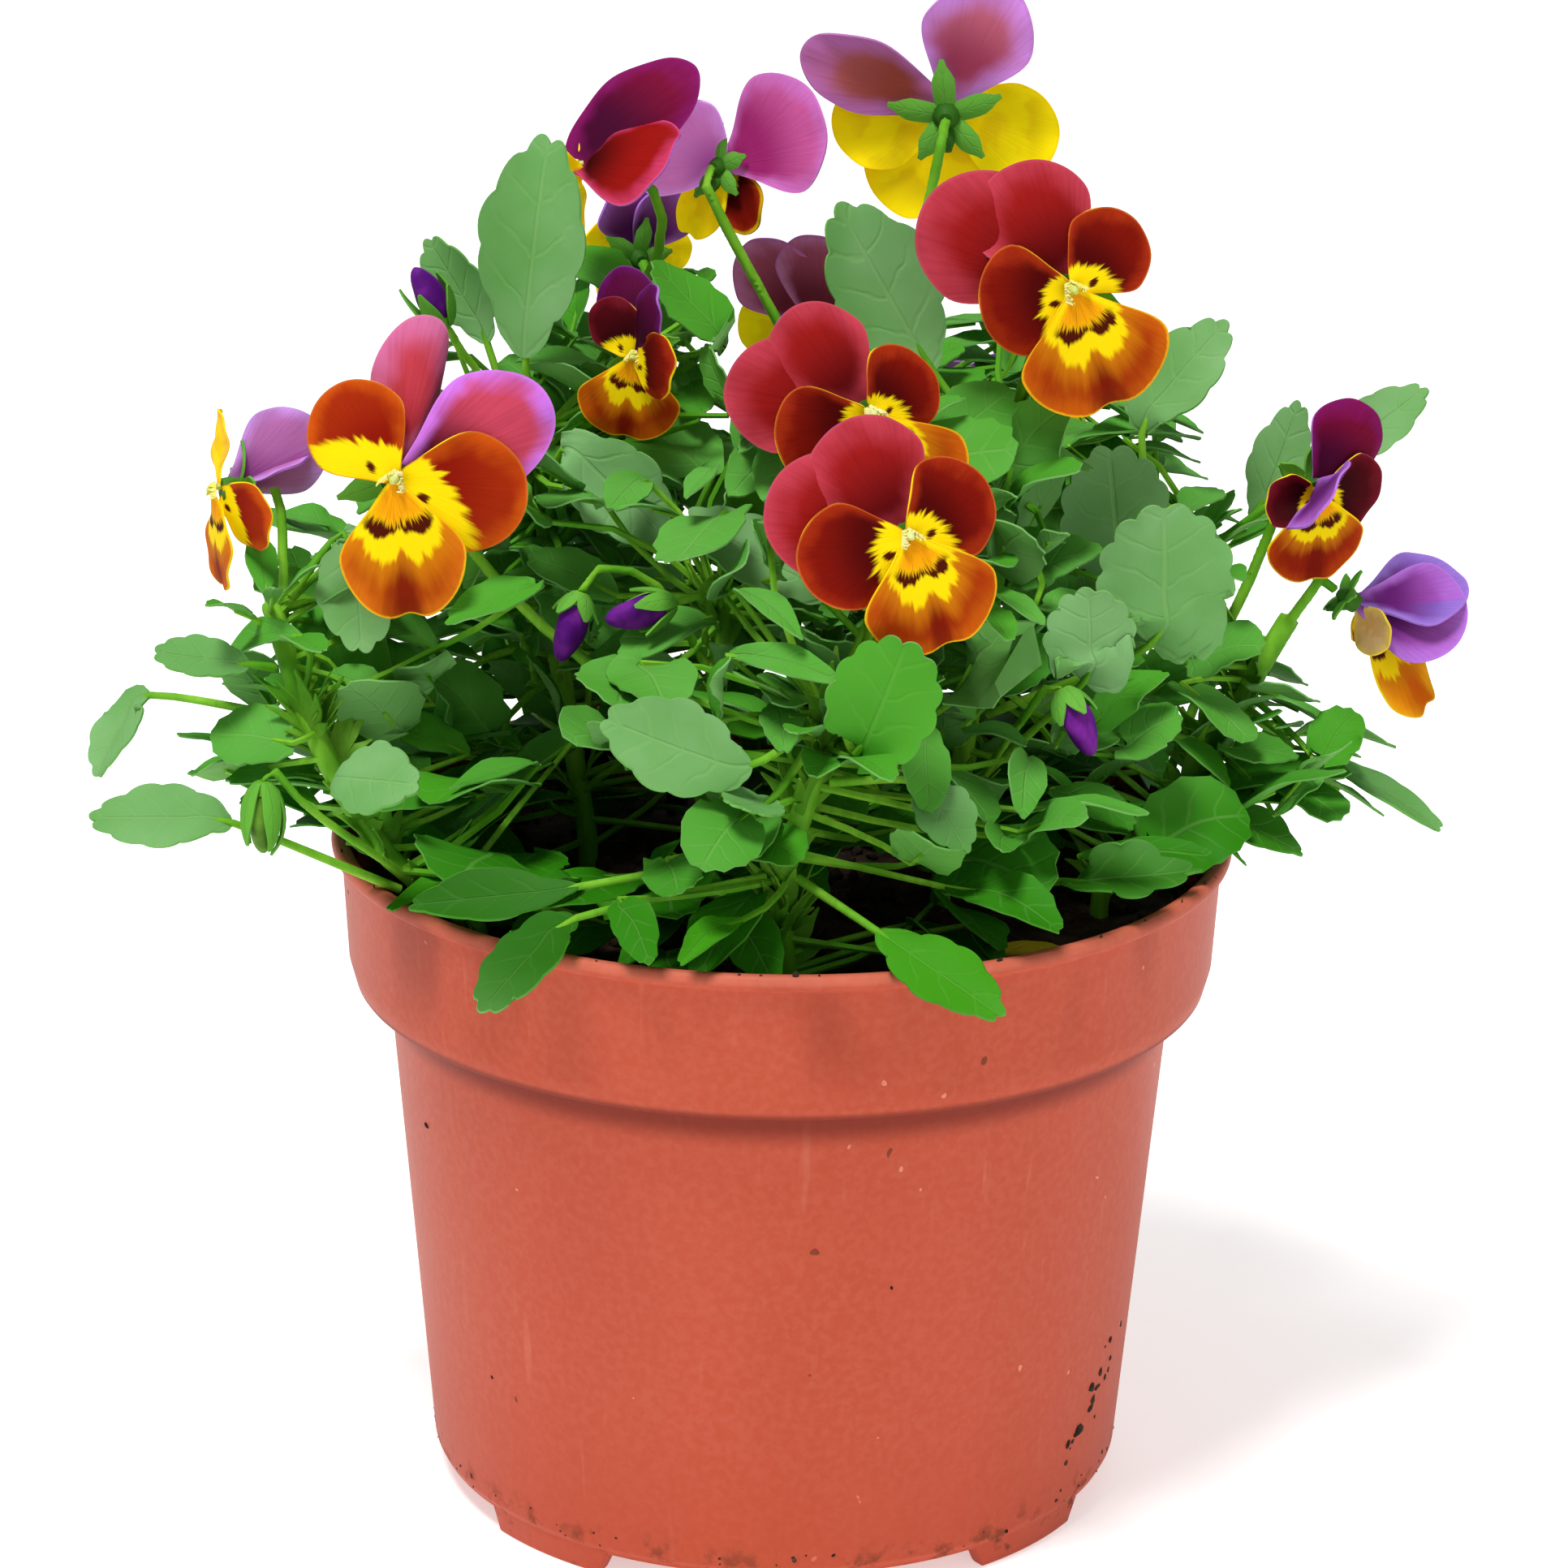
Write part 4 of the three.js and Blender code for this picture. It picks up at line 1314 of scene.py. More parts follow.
@dataclass
class Soil:
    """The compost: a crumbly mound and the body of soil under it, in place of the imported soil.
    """

    pot: Pot
    crown: float = 82.5 * MM
    edge: float = 80.5 * MM
    gap: float = 0.3 * MM
    cells: int = 150
    crumbs: int = 520

    @property
    def radius(self) -> float:
        """The surface's radius."""
        return self.pot.collar_low - self.pot.wall - self.gap

    def height_at(self, x: float, y: float) -> float:
        """Returns the surface's height at a place in plan."""
        reach = hypot(x, y) / self.radius
        lumps = noise.fractal(Vector((x, y, 0.0)) * 170, 0.9, 2.1, 4) * 0.55 * MM
        swell = noise.noise(Vector((x, y, 3.0)) * 55) * 0.9 * MM
        return self.crown + (self.edge - self.crown) * reach ** 2 + (lumps + swell) * 0.9

    def build(self) -> Object:
        """Builds the soil.

        Returns:
            The piece, which stands for the soil's node.
        """
        mesh = bmesh.new()
        bmesh.ops.create_grid(mesh, x_segments=self.cells, y_segments=self.cells, size=1.0)
        for vert in mesh.verts:
            x, y = disc(vert.co.x, vert.co.y)
            x, y = x * self.radius, y * self.radius
            vert.co = (x, y, self.height_at(x, y))
        pot = self.pot
        step = pot.collar_base + pot.wall
        rings = [(self.radius, step + pot.bevel + self.gap),
                 (self.radius - pot.bevel_depth, step + self.gap),
                 (pot.body_top - pot.wall - self.gap, step + self.gap),
                 (pot.body_top - pot.wall - self.gap, step - self.gap),
                 (pot.body_low - pot.wall - self.gap, pot.floor + pot.wall + self.gap)]
        edges = [edge for edge in mesh.edges if edge.is_boundary]
        for radius, z in rings:
            verts, edges = grow_rim(mesh, edges)
            for vert in verts:
                out = Vector((vert.co.x, vert.co.y, 0.0)).normalized()
                vert.co = out * radius + UP * z
        bmesh.ops.contextual_create(mesh, geom=edges)
        bmesh.ops.recalc_face_normals(mesh, faces=mesh.faces)
        for _ in range(self.crumbs):
            reach = self.radius * sqrt(CHANCE.random()) * 0.98
            turn = between(0, 2 * pi)
            x, y = reach * cos(turn), reach * sin(turn)
            size = between(0.3, 1.0) ** 1.6 * 1.5 * MM
            add_crumb(mesh, Vector((x, y, self.height_at(x, y) + size * 0.3)), size)
        return make_piece("soil_mound", mesh, [COMPOST], ["soil"], 60.0)


# ---- Flowers


@dataclass(frozen=True)
class PetalShape:
    """One petal, in millimetres on the pattern flower.

    swing is its angle from straight up, seen from the front. lift brings it forward, pitch
    tips its end forward, turn leans it about the flower's upright axis, and twist turns it
    about its own length. curl bends its end backward and cup its sides, roll is the radius
    to which one side is furled back, and notch dents its end.
    """

    swing: float
    length: float
    width: float
    lift: float = 0.0
    pitch: float = 0.0
    turn: float = 0.0
    twist: float = 0.0
    curl: float = 1.0
    cup: float = 0.8
    roll: float = 0.0
    wave: float = 0.42
    notch: float = 0.0
    claw: float = 0.35
    broad: float = 0.62
    front: PetalSkin = RUST_SIDE
    back: PetalSkin = YELLOW_BACK

    @property
    def hold(self) -> Matrix:
        """The petal's place in the flower."""
        return (Matrix.Translation((0, 0, self.lift))
                @ Matrix.Rotation(radians(self.turn), 4, "Y")
                @ Matrix.Rotation(-radians(self.swing), 4, "Z")
                @ Matrix.Rotation(radians(self.pitch), 4, "X")
                @ Matrix.Rotation(radians(self.twist), 4, "Y"))

    def point(self, x: float, y: float, phase: float) -> Spot:
        """Bends a place on the disc to the petal.

        Args:
            x, y: a place on the disc, with the claw at y = -1.
            phase: where its waves start.

        Returns:
            The point, its place on the petal's plan and its place on the rim map.
        """
        t = (y + 1) / 2
        spread = self.claw + (1 - self.claw) * ease(t, 0.0, self.broad)
        half = x * spread
        dent = self.notch * exp(-((x / 0.22) ** 2)) * t ** 6
        rim = hypot(x, y)
        turn = atan2(x, y)
        out = Vector((half * self.width / 2, self.length * (t - dent), 0.0))
        out.z = (-self.curl * t * t - self.cup * half * half * (0.4 + 0.6 * t)
                 + self.wave * rim ** 4 * (sin(3 * turn + phase)
                                           + 0.5 * sin(7 * turn + 2 * phase)))
        side = -1.0 if self.swing < 0 else 1.0
        plan = (0.5 + side * out.x / self.length, out.y / self.length)
        if self.roll * out.x > 0:
            furl = out.x / self.roll
            out.z -= abs(self.roll) * (1 - cos(furl))
            out.x = self.roll * sin(furl)
        return out, plan, (0.5 + x / 2, 0.5 + y / 2)


class Part(Enum):
    """A petal's position in the flower, as its viewer sees it."""

    UPPER_LEFT = "upper_left"
    UPPER_RIGHT = "upper_right"
    SIDE_LEFT = "side_left"
    SIDE_RIGHT = "side_right"
    LOWER = "lower"


OPEN_FACE: dict[Part, PetalShape] = {
    Part.UPPER_LEFT: PetalShape(-22, 18, 15.5, -1.9, curl=2.4, cup=1.6, front=ROSE_UPPER,
                                back=LILAC_BACK),
    Part.UPPER_RIGHT: PetalShape(22, 18, 15.5, -1.3, curl=2.4, cup=1.6, front=ROSE_UPPER,
                                 back=LILAC_BACK),
    Part.SIDE_LEFT: PetalShape(-80, 13.5, 13, -0.2, curl=1.5, claw=0.5, broad=0.55),
    Part.SIDE_RIGHT: PetalShape(80, 13.5, 13, -0.2, curl=1.5, claw=0.5, broad=0.55),
    Part.LOWER: PetalShape(180, 14.2, 17, 0.5, curl=1.2, cup=0.6, notch=0.06, claw=0.4,
                           broad=0.55, front=RUST_LOWER),
}


def petal(*sizes: float, **others: object) -> dict[str, object]:
    """Returns a petal's new values: swing, length and width in that order, others by name."""
    return {**dict(zip(("swing", "length", "width"), sizes)), **others}


def arranged(**changes: dict[str, object]) -> dict[Part, PetalShape]:
    """Returns the open face's petals with some of their values changed.

    Args:
        changes: new values by petal position.

    Returns:
        The petals by position.
    """
    return {part: replace(shape, **changes.get(part.value, {}))
            for part, shape in OPEN_FACE.items()}


@dataclass
class Flower:
    """A pansy flower: five petals, a calyx with a spur, and a throat."""

    name: str
    petals: dict[Part, PetalShape]
    cells: int = 18
    thickness: float = 0.3 * MM
    sepal_length: float = 5.8
    sepal_width: float = 2.5
    sepal_sweep: float = 0.0
    cup: float = 1.0
    hairs: int = 22

    def build(self) -> list[Object]:
        """Builds the flower round its node's heart.

        Returns:
            Its pieces.
        """
        node = f"flower_{self.name}"
        stand = flower_matrix(node)
        pieces = [self.petal(part, shape, stand) for part, shape in self.petals.items()]
        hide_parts(node)
        return [*pieces, self.calyx(stand), self.stigma(stand)]

    def petal(self, part: Part, shape: PetalShape, stand: Matrix) -> Object:
        """Builds one petal.

        Args:
            part: the petal's position in the flower.
            shape: its shape.
            stand: the flower's place.

        Returns:
            The petal.
        """
        phase = between(0, 6.28)
        hold = stand @ shape.hold

        def place(x: float, y: float) -> Spot:
            """Carries a place on the petal to where the petal is."""
            spot, plan, rim = shape.point(x, y, phase)
            return hold @ spot, plan, rim

        mesh = bmesh.new()
        add_sheet(mesh, (self.cells, self.cells), place, ("petal", "rim"), self.thickness)
        finishes = [shape.front, shape.back]
        return make_piece(f"flower_{self.name}.{part.value}", mesh, finishes)

    def calyx(self, stand: Matrix) -> Object:
        """Builds the green cup, its five sepals and the spur.

        Args:
            stand: the flower's place.

        Returns:
            The calyx.
        """
        mesh = bmesh.new()
        scale = stand.median_scale
        line = [stand @ Vector((0, 0, z)) for z in (-0.6, -2.0, -3.6, -4.8)]
        add_tube(mesh, line, [r * scale * self.cup for r in (1.7, 1.9, 1.6, 0.8)], 12, 1)
        spur = [stand @ Vector((0, y, z)) for y, z in
                ((-0.6, -1.6), (-1.9, -3.2), (-3.0, -4.2), (-3.8, -4.8))]
        add_tube(mesh, spur, [r * scale for r in (1.0, 0.95, 0.8, 0.45)], 10, 1)
        for turn in (0, 68, 140, -140, -68):
            angle = radians(turn + between(-8, 8))
            length = self.sepal_length * between(0.8, 1.15)
            width = self.sepal_width
            hold = (stand @ Matrix.Rotation(-angle, 4, "Z") @ Matrix.Translation((0, 0, -2.9))
                    @ Matrix.Rotation(-radians(self.sepal_sweep), 4, "X"))

            def place(x: float, y: float) -> Spot:
                """Carries a place on the sepal to where the sepal is."""
                t = (y + 1) / 2
                half = x * (0.8 + 0.2 * sin(t * pi)) * (1 - ease(t, 0.6, 1.0) * 0.75)
                spot = Vector((half * width / 2, 0.6 + length * t,
                               -0.5 * sin(t * pi) + 0.3 * half * half - 0.5 * t))
                return hold @ spot, (0.5 + half / 2, t), (0.5 + half / 2, t)

            add_sheet(mesh, (4, 8), place, ("blade", "rim"), 0.35 * MM, (0, 0), False)
        return make_piece(f"flower_{self.name}.calyx", mesh, [SEPAL_SKIN, CALYX_SKIN])

    def stigma(self, stand: Matrix) -> Object:
        """Builds the stigma's knob and the hairs each side of the throat.

        Args:
            stand: the flower's place.

        Returns:
            The throat's parts.
        """
        mesh = bmesh.new()
        scale = stand.median_scale
        knob = [stand @ Vector((0, y, z)) for y, z in
                ((0.7, -0.4), (0.4, 0.6), (0.1, 1.2), (-0.1, 1.6))]
        add_tube(mesh, knob, [r * scale for r in (0.4, 0.55, 0.5, 0.25)], 10, 0)
        for side in (-1, 1):
            for i in range(self.hairs):
                share = (i + CHANCE.random()) / self.hairs
                root = Vector((side * (0.35 + 1.05 * share), 1.1 - 1.7 * share,
                               0.3 + 0.3 * share))
                tip = root + Vector((-side * between(0.0, 0.6), between(-0.6, 0.1),
                                     between(0.5, 1.1)))
                add_tube(mesh, [stand @ root, stand @ ((root + tip) / 2), stand @ tip],
                         [0.17 * scale, 0.16 * scale, 0.06 * scale], 4, 1)
        return make_piece(f"flower_{self.name}.throat", mesh, [STIGMA, HAIRS])


# ---- Buds


@dataclass
class Bud:
    """A closed bud: furled petals held by green sepals."""

    name: str
    petals: Finish = BUD_PETALS
    cover: float = 0.62
    length: float = 9.0 * MM
    radius: float = 2.2 * MM

    def build(self) -> list[Object]:
        """Builds the bud on its node.

        Returns:
            Its petals and its sepals.
        """
        node = f"bud_{self.name}"
        lie = Lie.of(node)
        way = lie.axes[2]
        reach = [(vert.co - lie.middle).dot(way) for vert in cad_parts[node].data.vertices]
        foot = lie.middle + way * min(reach)
        side = way.orthogonal().normalized()
        stand = axes_matrix(side, way.cross(side), way, foot)
        furl = bmesh.new()
        made = bmesh.ops.create_uvsphere(furl, u_segments=24, v_segments=16, radius=1.0)
        for vert in made["verts"]:
            t = (vert.co.z + 1) / 2
            turn = atan2(vert.co.y, vert.co.x)
            fold = 1 + 0.09 * sin(3 * turn + 5 * t)
            belly = sqrt(max(1 - vert.co.z ** 2, 0)) * (1.05 - 0.3 * t)
            out = self.radius * fold * belly
            vert.co = stand @ Vector((out * cos(turn), out * sin(turn),
                                      self.length * (0.04 + 0.96 * t)))
        bmesh.ops.recalc_face_normals(furl, faces=furl.faces)
        petals = make_piece(f"{node}.petals", furl, [self.petals], [node])
        cup = bmesh.new()
        line = [stand @ Vector((0, 0, z * MM)) for z in (-0.3, 0.5, 1.4)]
        add_tube(cup, line, [0.75 * MM, 1.35 * MM, 1.6 * MM], 12, 1)
        for i in range(5):
            angle = 2 * pi * i / 5 + between(-0.15, 0.15)
            flare = between(0.0, 0.9) * MM
            cover = self.cover * between(0.85, 1.15)
            hold = stand @ Matrix.Rotation(angle, 4, "Z")

            def place(x: float, y: float) -> Spot:
                """Carries a place on the sepal to where the sepal is."""
                t = (y + 1) / 2
                z = t * cover * self.length
                body = self.radius * sqrt(max(1 - (2 * z / self.length - 1) ** 2, 0.06))
                out = body * 1.08 + 0.25 * MM + flare * t ** 3
                half = x * (0.5 + 0.8 * t * (1 - t) * 2) * (1 - 0.75 * t ** 2.5) * 1.5 * MM
                bend = half / max(out, MM)
                spot = Vector((out * cos(bend), out * sin(bend), z))
                return hold @ spot, (0.5 + x / 2, t), (0.5 + x / 2, t)

            add_sheet(cup, (4, 8), place, ("blade", "rim"), -0.3 * MM, (0, 0), False)
        sepals = make_piece(f"{node}.sepals", cup, [SEPAL_SKIN, STEM_SKIN])
        return [petals, sepals]


# ---- Leaves


@dataclass(frozen=True)
class BladeShape:
    """A leaf blade's plan and relief.

    Teeth are counted round the whole edge. base and tip are shares of the full width kept
    there, heart is how far the base's lobes reach back, and fold and wave bend it.
    """

    teeth: int = 14
    depth: float = 0.09
    base: float = 0.9
    tip: float = 1.0
    heart: float = 0.0
    fold: float = 0.12
    wave: float = 0.10
    cells: tuple[int, int] = (7, 7)

    def point(self, lie: LeafLie, phase: float, x: float, y: float) -> Spot:
        """Bends a place on the disc to the blade.

        Args:
            lie: where the leaf lies.
            phase: where its teeth and waves start.
            x, y: a place on the disc, with the petiole at y = -1.

        Returns:
            The point and its place on the blade's two maps.
        """
        rim, turn = hypot(x, y), atan2(x, y)
        tooth = abs(sin(self.teeth * turn / 2 + phase)) ** 0.7
        keep = 1 - self.depth * (1 - tooth) * rim ** 5 * ease(y, -1.0, -0.75)
        t = (y * keep + 1) / 2
        spread = (self.base + (1 - self.base) * ease(t, 0.0, 0.5)) * (
            1 - (1 - self.tip) * ease(t, 0.55, 1.0))
        half = x * keep * spread
        back = self.heart * abs(x) * (1 - ease(t, 0.0, 0.45))
        spot, along = lie.spine.at(lie.start + (1 - lie.start) * (t - back))
        side = along.cross(lie.face).normalized()
        up = side.cross(along)
        lift = (self.fold * abs(half) ** 1.3 * lie.width / 2
                + self.wave * lie.width / 2 * rim ** 3 * sin(3 * turn + phase * 3))
        place = spot + side * (half * lie.width / 2) + up * lift
        return place, (0.5 + half / 2, t), (0.5 + x / 2, 0.5 + y / 2)


ROUND = BladeShape(teeth=13, depth=0.12, base=0.95, tip=1.0, heart=0.10, fold=0.10, wave=0.09)
LONG = BladeShape(teeth=11, depth=0.11, base=0.75, tip=0.8, fold=0.22, wave=0.07)
NARROW = BladeShape(teeth=9, depth=0.08, base=0.6, tip=0.62, fold=0.35, wave=0.12)
CURLY = BladeShape(teeth=9, depth=0.24, base=0.75, tip=0.8, fold=0.5, wave=0.26)


def add_leaf(mesh: BMesh, shape: BladeShape, lie: LeafLie, phase: float,
             slots: tuple[int, int, int] = (0, 1, 2), petiole: float = 0.55 * MM,
             thickness: float = 0.35 * MM) -> None:
    """Adds a leaf: its blade, and a petiole that runs on under the blade and thins out.

    Args:
        mesh: the mesh that it is added to.
        shape: the blade's shape.
        lie: where it lies.
        phase: where its teeth start.
        slots: material slots of the upper side, underside and petiole.
        petiole: the petiole's radius.
        thickness: the blade's thickness.
    """

    def place(x: float, y: float) -> Spot:
        """Carries a place on the blade to where the leaf is."""
        return shape.point(lie, phase, x, y)

    add_sheet(mesh, shape.cells, place, ("blade", "rim"), thickness, slots[:2])
    detailed = shape.cells[0] > 10
    shares = [lie.start * i / (6 if detailed else 3) for i in range(7 if detailed else 4)]
    shares += [lie.start + (1 - lie.start) * s for s in ((0.2, 0.45, 0.7) if detailed else (0.4,))]
    line, radii = [], []
    for share in shares:
        spot, along = lie.spine.at(share)
        inside = max(share - lie.start, 0.0) / (1 - lie.start)
        up = along.cross(lie.face).normalized().cross(along)
        taper = 1.15 - 0.25 * min(share / max(lie.start, 0.01), 1)
        radius = petiole * taper * (1 - 0.75 * inside)
        line.append(spot - up * (thickness * 0.8 + radius * 0.6 if inside > 0 else 0.0))
        radii.append(radius)
    add_tube(mesh, line, radii, 8 if detailed else 5, slots[2])


@dataclass
class Leaf:
    """A leaf with a node of its own."""

    name: str
    shape: BladeShape
    top: Finish = LEAF_TOP
    wide: float = 1.0

    def build(self) -> Object:
        """Builds the leaf on its node.

        Returns:
            The leaf.
        """
        node = f"leaf_{self.name}"
        mesh = bmesh.new()
        lie = LeafLie.of(node)
        lie = replace(lie, width=lie.width * self.wide)  # some leaves are wider than their node
        add_leaf(mesh, replace(self.shape, cells=(22, 26)), lie, between(0, 6.28))
        finishes = [self.top, LEAF_UNDER, STEM_SKIN]
        return make_piece(node + ".blade", mesh, finishes, [node])


@dataclass
class FallenLeaf:
    """A dying leaf that has dropped on the compost inside the rim."""

    line: tuple[tuple[float, float, float], ...] = (
        (22, -33, 84.2), (27, -35, 85.6), (33, -36, 85.8), (39, -36, 84.8))
    width: float = 6.5 * MM

    def build(self) -> Object:
        """Builds the leaf."""
        spine = Spine.through([Vector(point) * MM for point in self.line])
        mesh = bmesh.new()
        add_leaf(mesh, replace(NARROW, cells=(12, 14)), LeafLie(spine, 0.25, self.width, UP), 1.0)
        return make_piece("fallen_leaf", mesh, [DYING_LEAF, DYING_LEAF, STEM_SKIN])


# ---- Shoots and foliage


@dataclass
class Shoot:
    """A shoot: its stem and stalks, grown smooth, and how many stipules stand on it."""

    name: str
    stipules: int
    voxel: float = 0.36 * MM
    swell: float = 0.10 * MM

    def stem(self) -> Object:
        """Builds the stem and its stalks from the node's own solid.

        Returns:
            The piece, which stands for the shoot's node.
        """
        node = f"shoot_{self.name}"
        blank = add_object(node + " rough", node_mesh(node))
        remesh = blank.modifiers.new("even", "REMESH")
        remesh.mode, remesh.voxel_size = "VOXEL", self.voxel
        relax = blank.modifiers.new("relax", "SMOOTH")
        relax.factor, relax.iterations = 0.5, 5
        mesh = modified(blank)
        mesh.normal_update()
        for vert in mesh.verts:
            swell = 0.6 + noise.noise(vert.co * 90) + 0.35 * noise.noise(vert.co * 400)
            vert.co += vert.normal * self.swell * swell
        return make_piece(f"{node}.stems", mesh, [STEM_SKIN], [node], 80.0)


@dataclass
class Grower:
    """Grows small leaves and stipules on the shoots, clear of everything that stands there.

    low and high are the corners of the room that leaves may fill, bare is the space kept for
    watering and faces are the flowers' places. open lists places, each with a radius, that no
    leaf may hide from the show side. dome gives the radius that the foliage fills at each
    height, and tufts are the middles of denser clumps beside it. stalk is how short and how
    long a stalk may be. young and mature are material slots, and small is the radius of a small
    leaf's petiole and the thickness of its blade.
    """

    soil: Soil
    low: Vector
    high: Vector
    bare: tuple[Vector, Vector]
    faces: list[Matrix]
    standing: BVHTree
    show: Vector
    open: list[tuple[Vector, float]]
    tufts: tuple[tuple[float, float, float], ...] = (
        (-62, -12, 110), (64, -2, 106), (-52, 4, 122), (26, 30, 148), (2, 30, 156), (-22, 26, 150),
        (46, 20, 134), (-40, 20, 136), (-24, 32, 116), (4, 38, 112), (42, 34, 100), (-34, 38, 99))
    dome: tuple[tuple[float, float], ...] = ((84, 57), (112, 56), (130, 47), (146, 34), (160, 16))
    stalk: tuple[float, float] = (8.0 * MM, 34.0 * MM)
    face_depth: float = 45.0
    face_room: float = 15.5
    roots: int = 150
    tries: int = 40
    rosette_leaves: int = 11
    nearest: int = 12
    young: tuple[int, int, int] = (3, 1, 2)
    mature: tuple[int, int, int] = (0, 1, 2)
    small: tuple[float, float] = (0.45 * MM, 0.25 * MM)
    taken: list[tuple[Vector, float, BVHTree]] = field(default_factory=list)

    def clear(self, place: Vector) -> bool:
        """Says whether a point of a leaf may be at a place.

        Args:
            place: the point.

        Returns:
            False in the soil, the pot, the space kept for watering and in front of a flower.
        """
        if any(not self.low[i] - MM < place[i] < self.high[i] + MM for i in range(3)):
            return False
        reach = place.xy.length
        pot = self.soil.pot
        if reach < self.soil.radius and place.z < self.soil.crown + 1.2 * MM:
            return False
        if self.soil.radius - 1.5 * MM < reach < pot.lip + MM and place.z < pot.height + MM:
            return False
        if reach >= pot.lip and place.z < pot.height - 2 * MM:
            return False
        if all(self.bare[0][i] < place[i] < self.bare[1][i] for i in range(3)):
            return False
        for middle, radius in self.open:
            away = place - middle
            ahead = away.dot(self.show)
            if ahead > -2 * MM and (away - self.show * ahead).length < radius:
                return False
        for face in self.faces:
            spot = face.inverted() @ place
            room = self.face_room + spot.z * 0.05
            if -3.0 < spot.z < self.face_depth and spot.xy.length < room:
                return False
        return True

    def anchors(self, stem: Object, count: int) -> list[tuple[Vector, Vector]]:
        """Picks places on the thick parts of a stem, above the soil.

        Args:
            stem: the stem.
            count: how many places.

        Returns:
            Points with the outward direction at each.
        """
        data = stem.data
        tree = joined_tree([stem])
        found = []
        for _ in range(count * self.tries):
            if len(found) == count:
                break
            vert = data.vertices[CHANCE.randrange(len(data.vertices))]
            if vert.co.z < self.soil.crown + MM:
                continue
            hit = tree.ray_cast(vert.co - vert.normal * 0.05 * MM, -vert.normal)[3]
            if hit is not None and hit > 2.2 * MM:
                found.append((vert.co.copy(), vert.normal.copy()))
        return found

    def aim(self) -> Vector:
        """Picks the middle of a leaf's blade: in the dome, or low over the soil and the rim."""
        turn = between(-pi, pi)
        pick = CHANCE.random()
        if pick < 0.36:
            middle = Vector(self.tufts[CHANCE.randrange(len(self.tufts))])
            away = Vector([CHANCE.gauss(0, 1) for _ in range(3)]).normalized()
            return (middle + away * 15 * CHANCE.random() ** 0.5) * MM
        if pick < 0.55:
            reach, height = between(22, 60), between(86, 98)
        else:
            height = 88 + 72 * CHANCE.random()
            reach = float(np.interp(height, *zip(*self.dome))) * between(0.1, 1.0) ** 0.5
        return Vector((reach * cos(turn), reach * sin(turn), height)) * MM

    def leaf_at(self, goal: Vector, root: Vector,
                out: Vector) -> tuple[BladeShape, LeafLie] | None:
        """Tries one small leaf.

        Args:
            goal: the middle of its blade.
            root: where it leaves the stem.
            out: the direction away from the stem.

        Returns:
            Its shape and place, or None where it doesn't fit.
        """
        away = Vector((goal.x, goal.y, 0.0)).normalized()
        low = goal.z < 0.1
        blade = between(*((11, 21) if low else (9, 19))) * MM
        bend = away * 0.8 + UP * between(-0.3, 0.3 if low else 0.9)
        bend = (bend + astray(0.6)).normalized()
        base, tip = goal - bend * blade / 2, goal + (bend - UP * between(0, 0.3)) * blade / 2
        kind = CHANCE.choices((ROUND, LONG, NARROW), (0.42, 0.42, 0.16))[0]
        ratio = {ROUND: between(0.72, 0.95), LONG: between(0.45, 0.62),
                 NARROW: between(0.25, 0.36)}[kind]
        face = (UP * 0.8 + away * between(0.2, 0.7) + astray(0.4)).normalized()
        side = bend.cross(face).normalized() * blade * ratio / 2
        if not all(self.clear(p) for p in (base, goal, tip, goal + side, goal - side)):
            return None
        knee = root + (base - root) * 0.45 + out * (base - root).length * 0.15
        knots = [root - out * 0.5 * MM, knee, base, goal + UP * blade * 0.04, tip]
        spine = Spine.through(knots, 4)
        return kind, LeafLie(spine, spine.marks[8] / spine.length, blade * ratio, face)

    def fits(self, shape: BladeShape, lie: LeafLie) -> bool:
        """Says whether a leaf's blade is clear of all that stands, and then takes its room.

        Args:
            shape: the blade's shape.
            lie: where it lies.

        Returns:
            True where it touches nothing.
        """
        probe = bmesh.new()
        made = bmesh.ops.create_grid(probe, x_segments=4, y_segments=4, size=1.0)
        for vert in made["verts"]:
            spot = disc(vert.co.x, vert.co.y)
            vert.co = shape.point(lie, 0.0, *spot)[0]
        tree = BVHTree.FromBMesh(probe)
        probe.free()
        middle = lie.spine.at(0.5 + lie.start / 2)[0]
        size = lie.spine.length * (1 - lie.start) * 0.6
        near = (other for spot, room, other in self.taken if (spot - middle).length < size + room)
        if self.standing.overlap(tree) or any(other.overlap(tree) for other in near):
            return False
        self.taken.append((middle, size, tree))
        return True

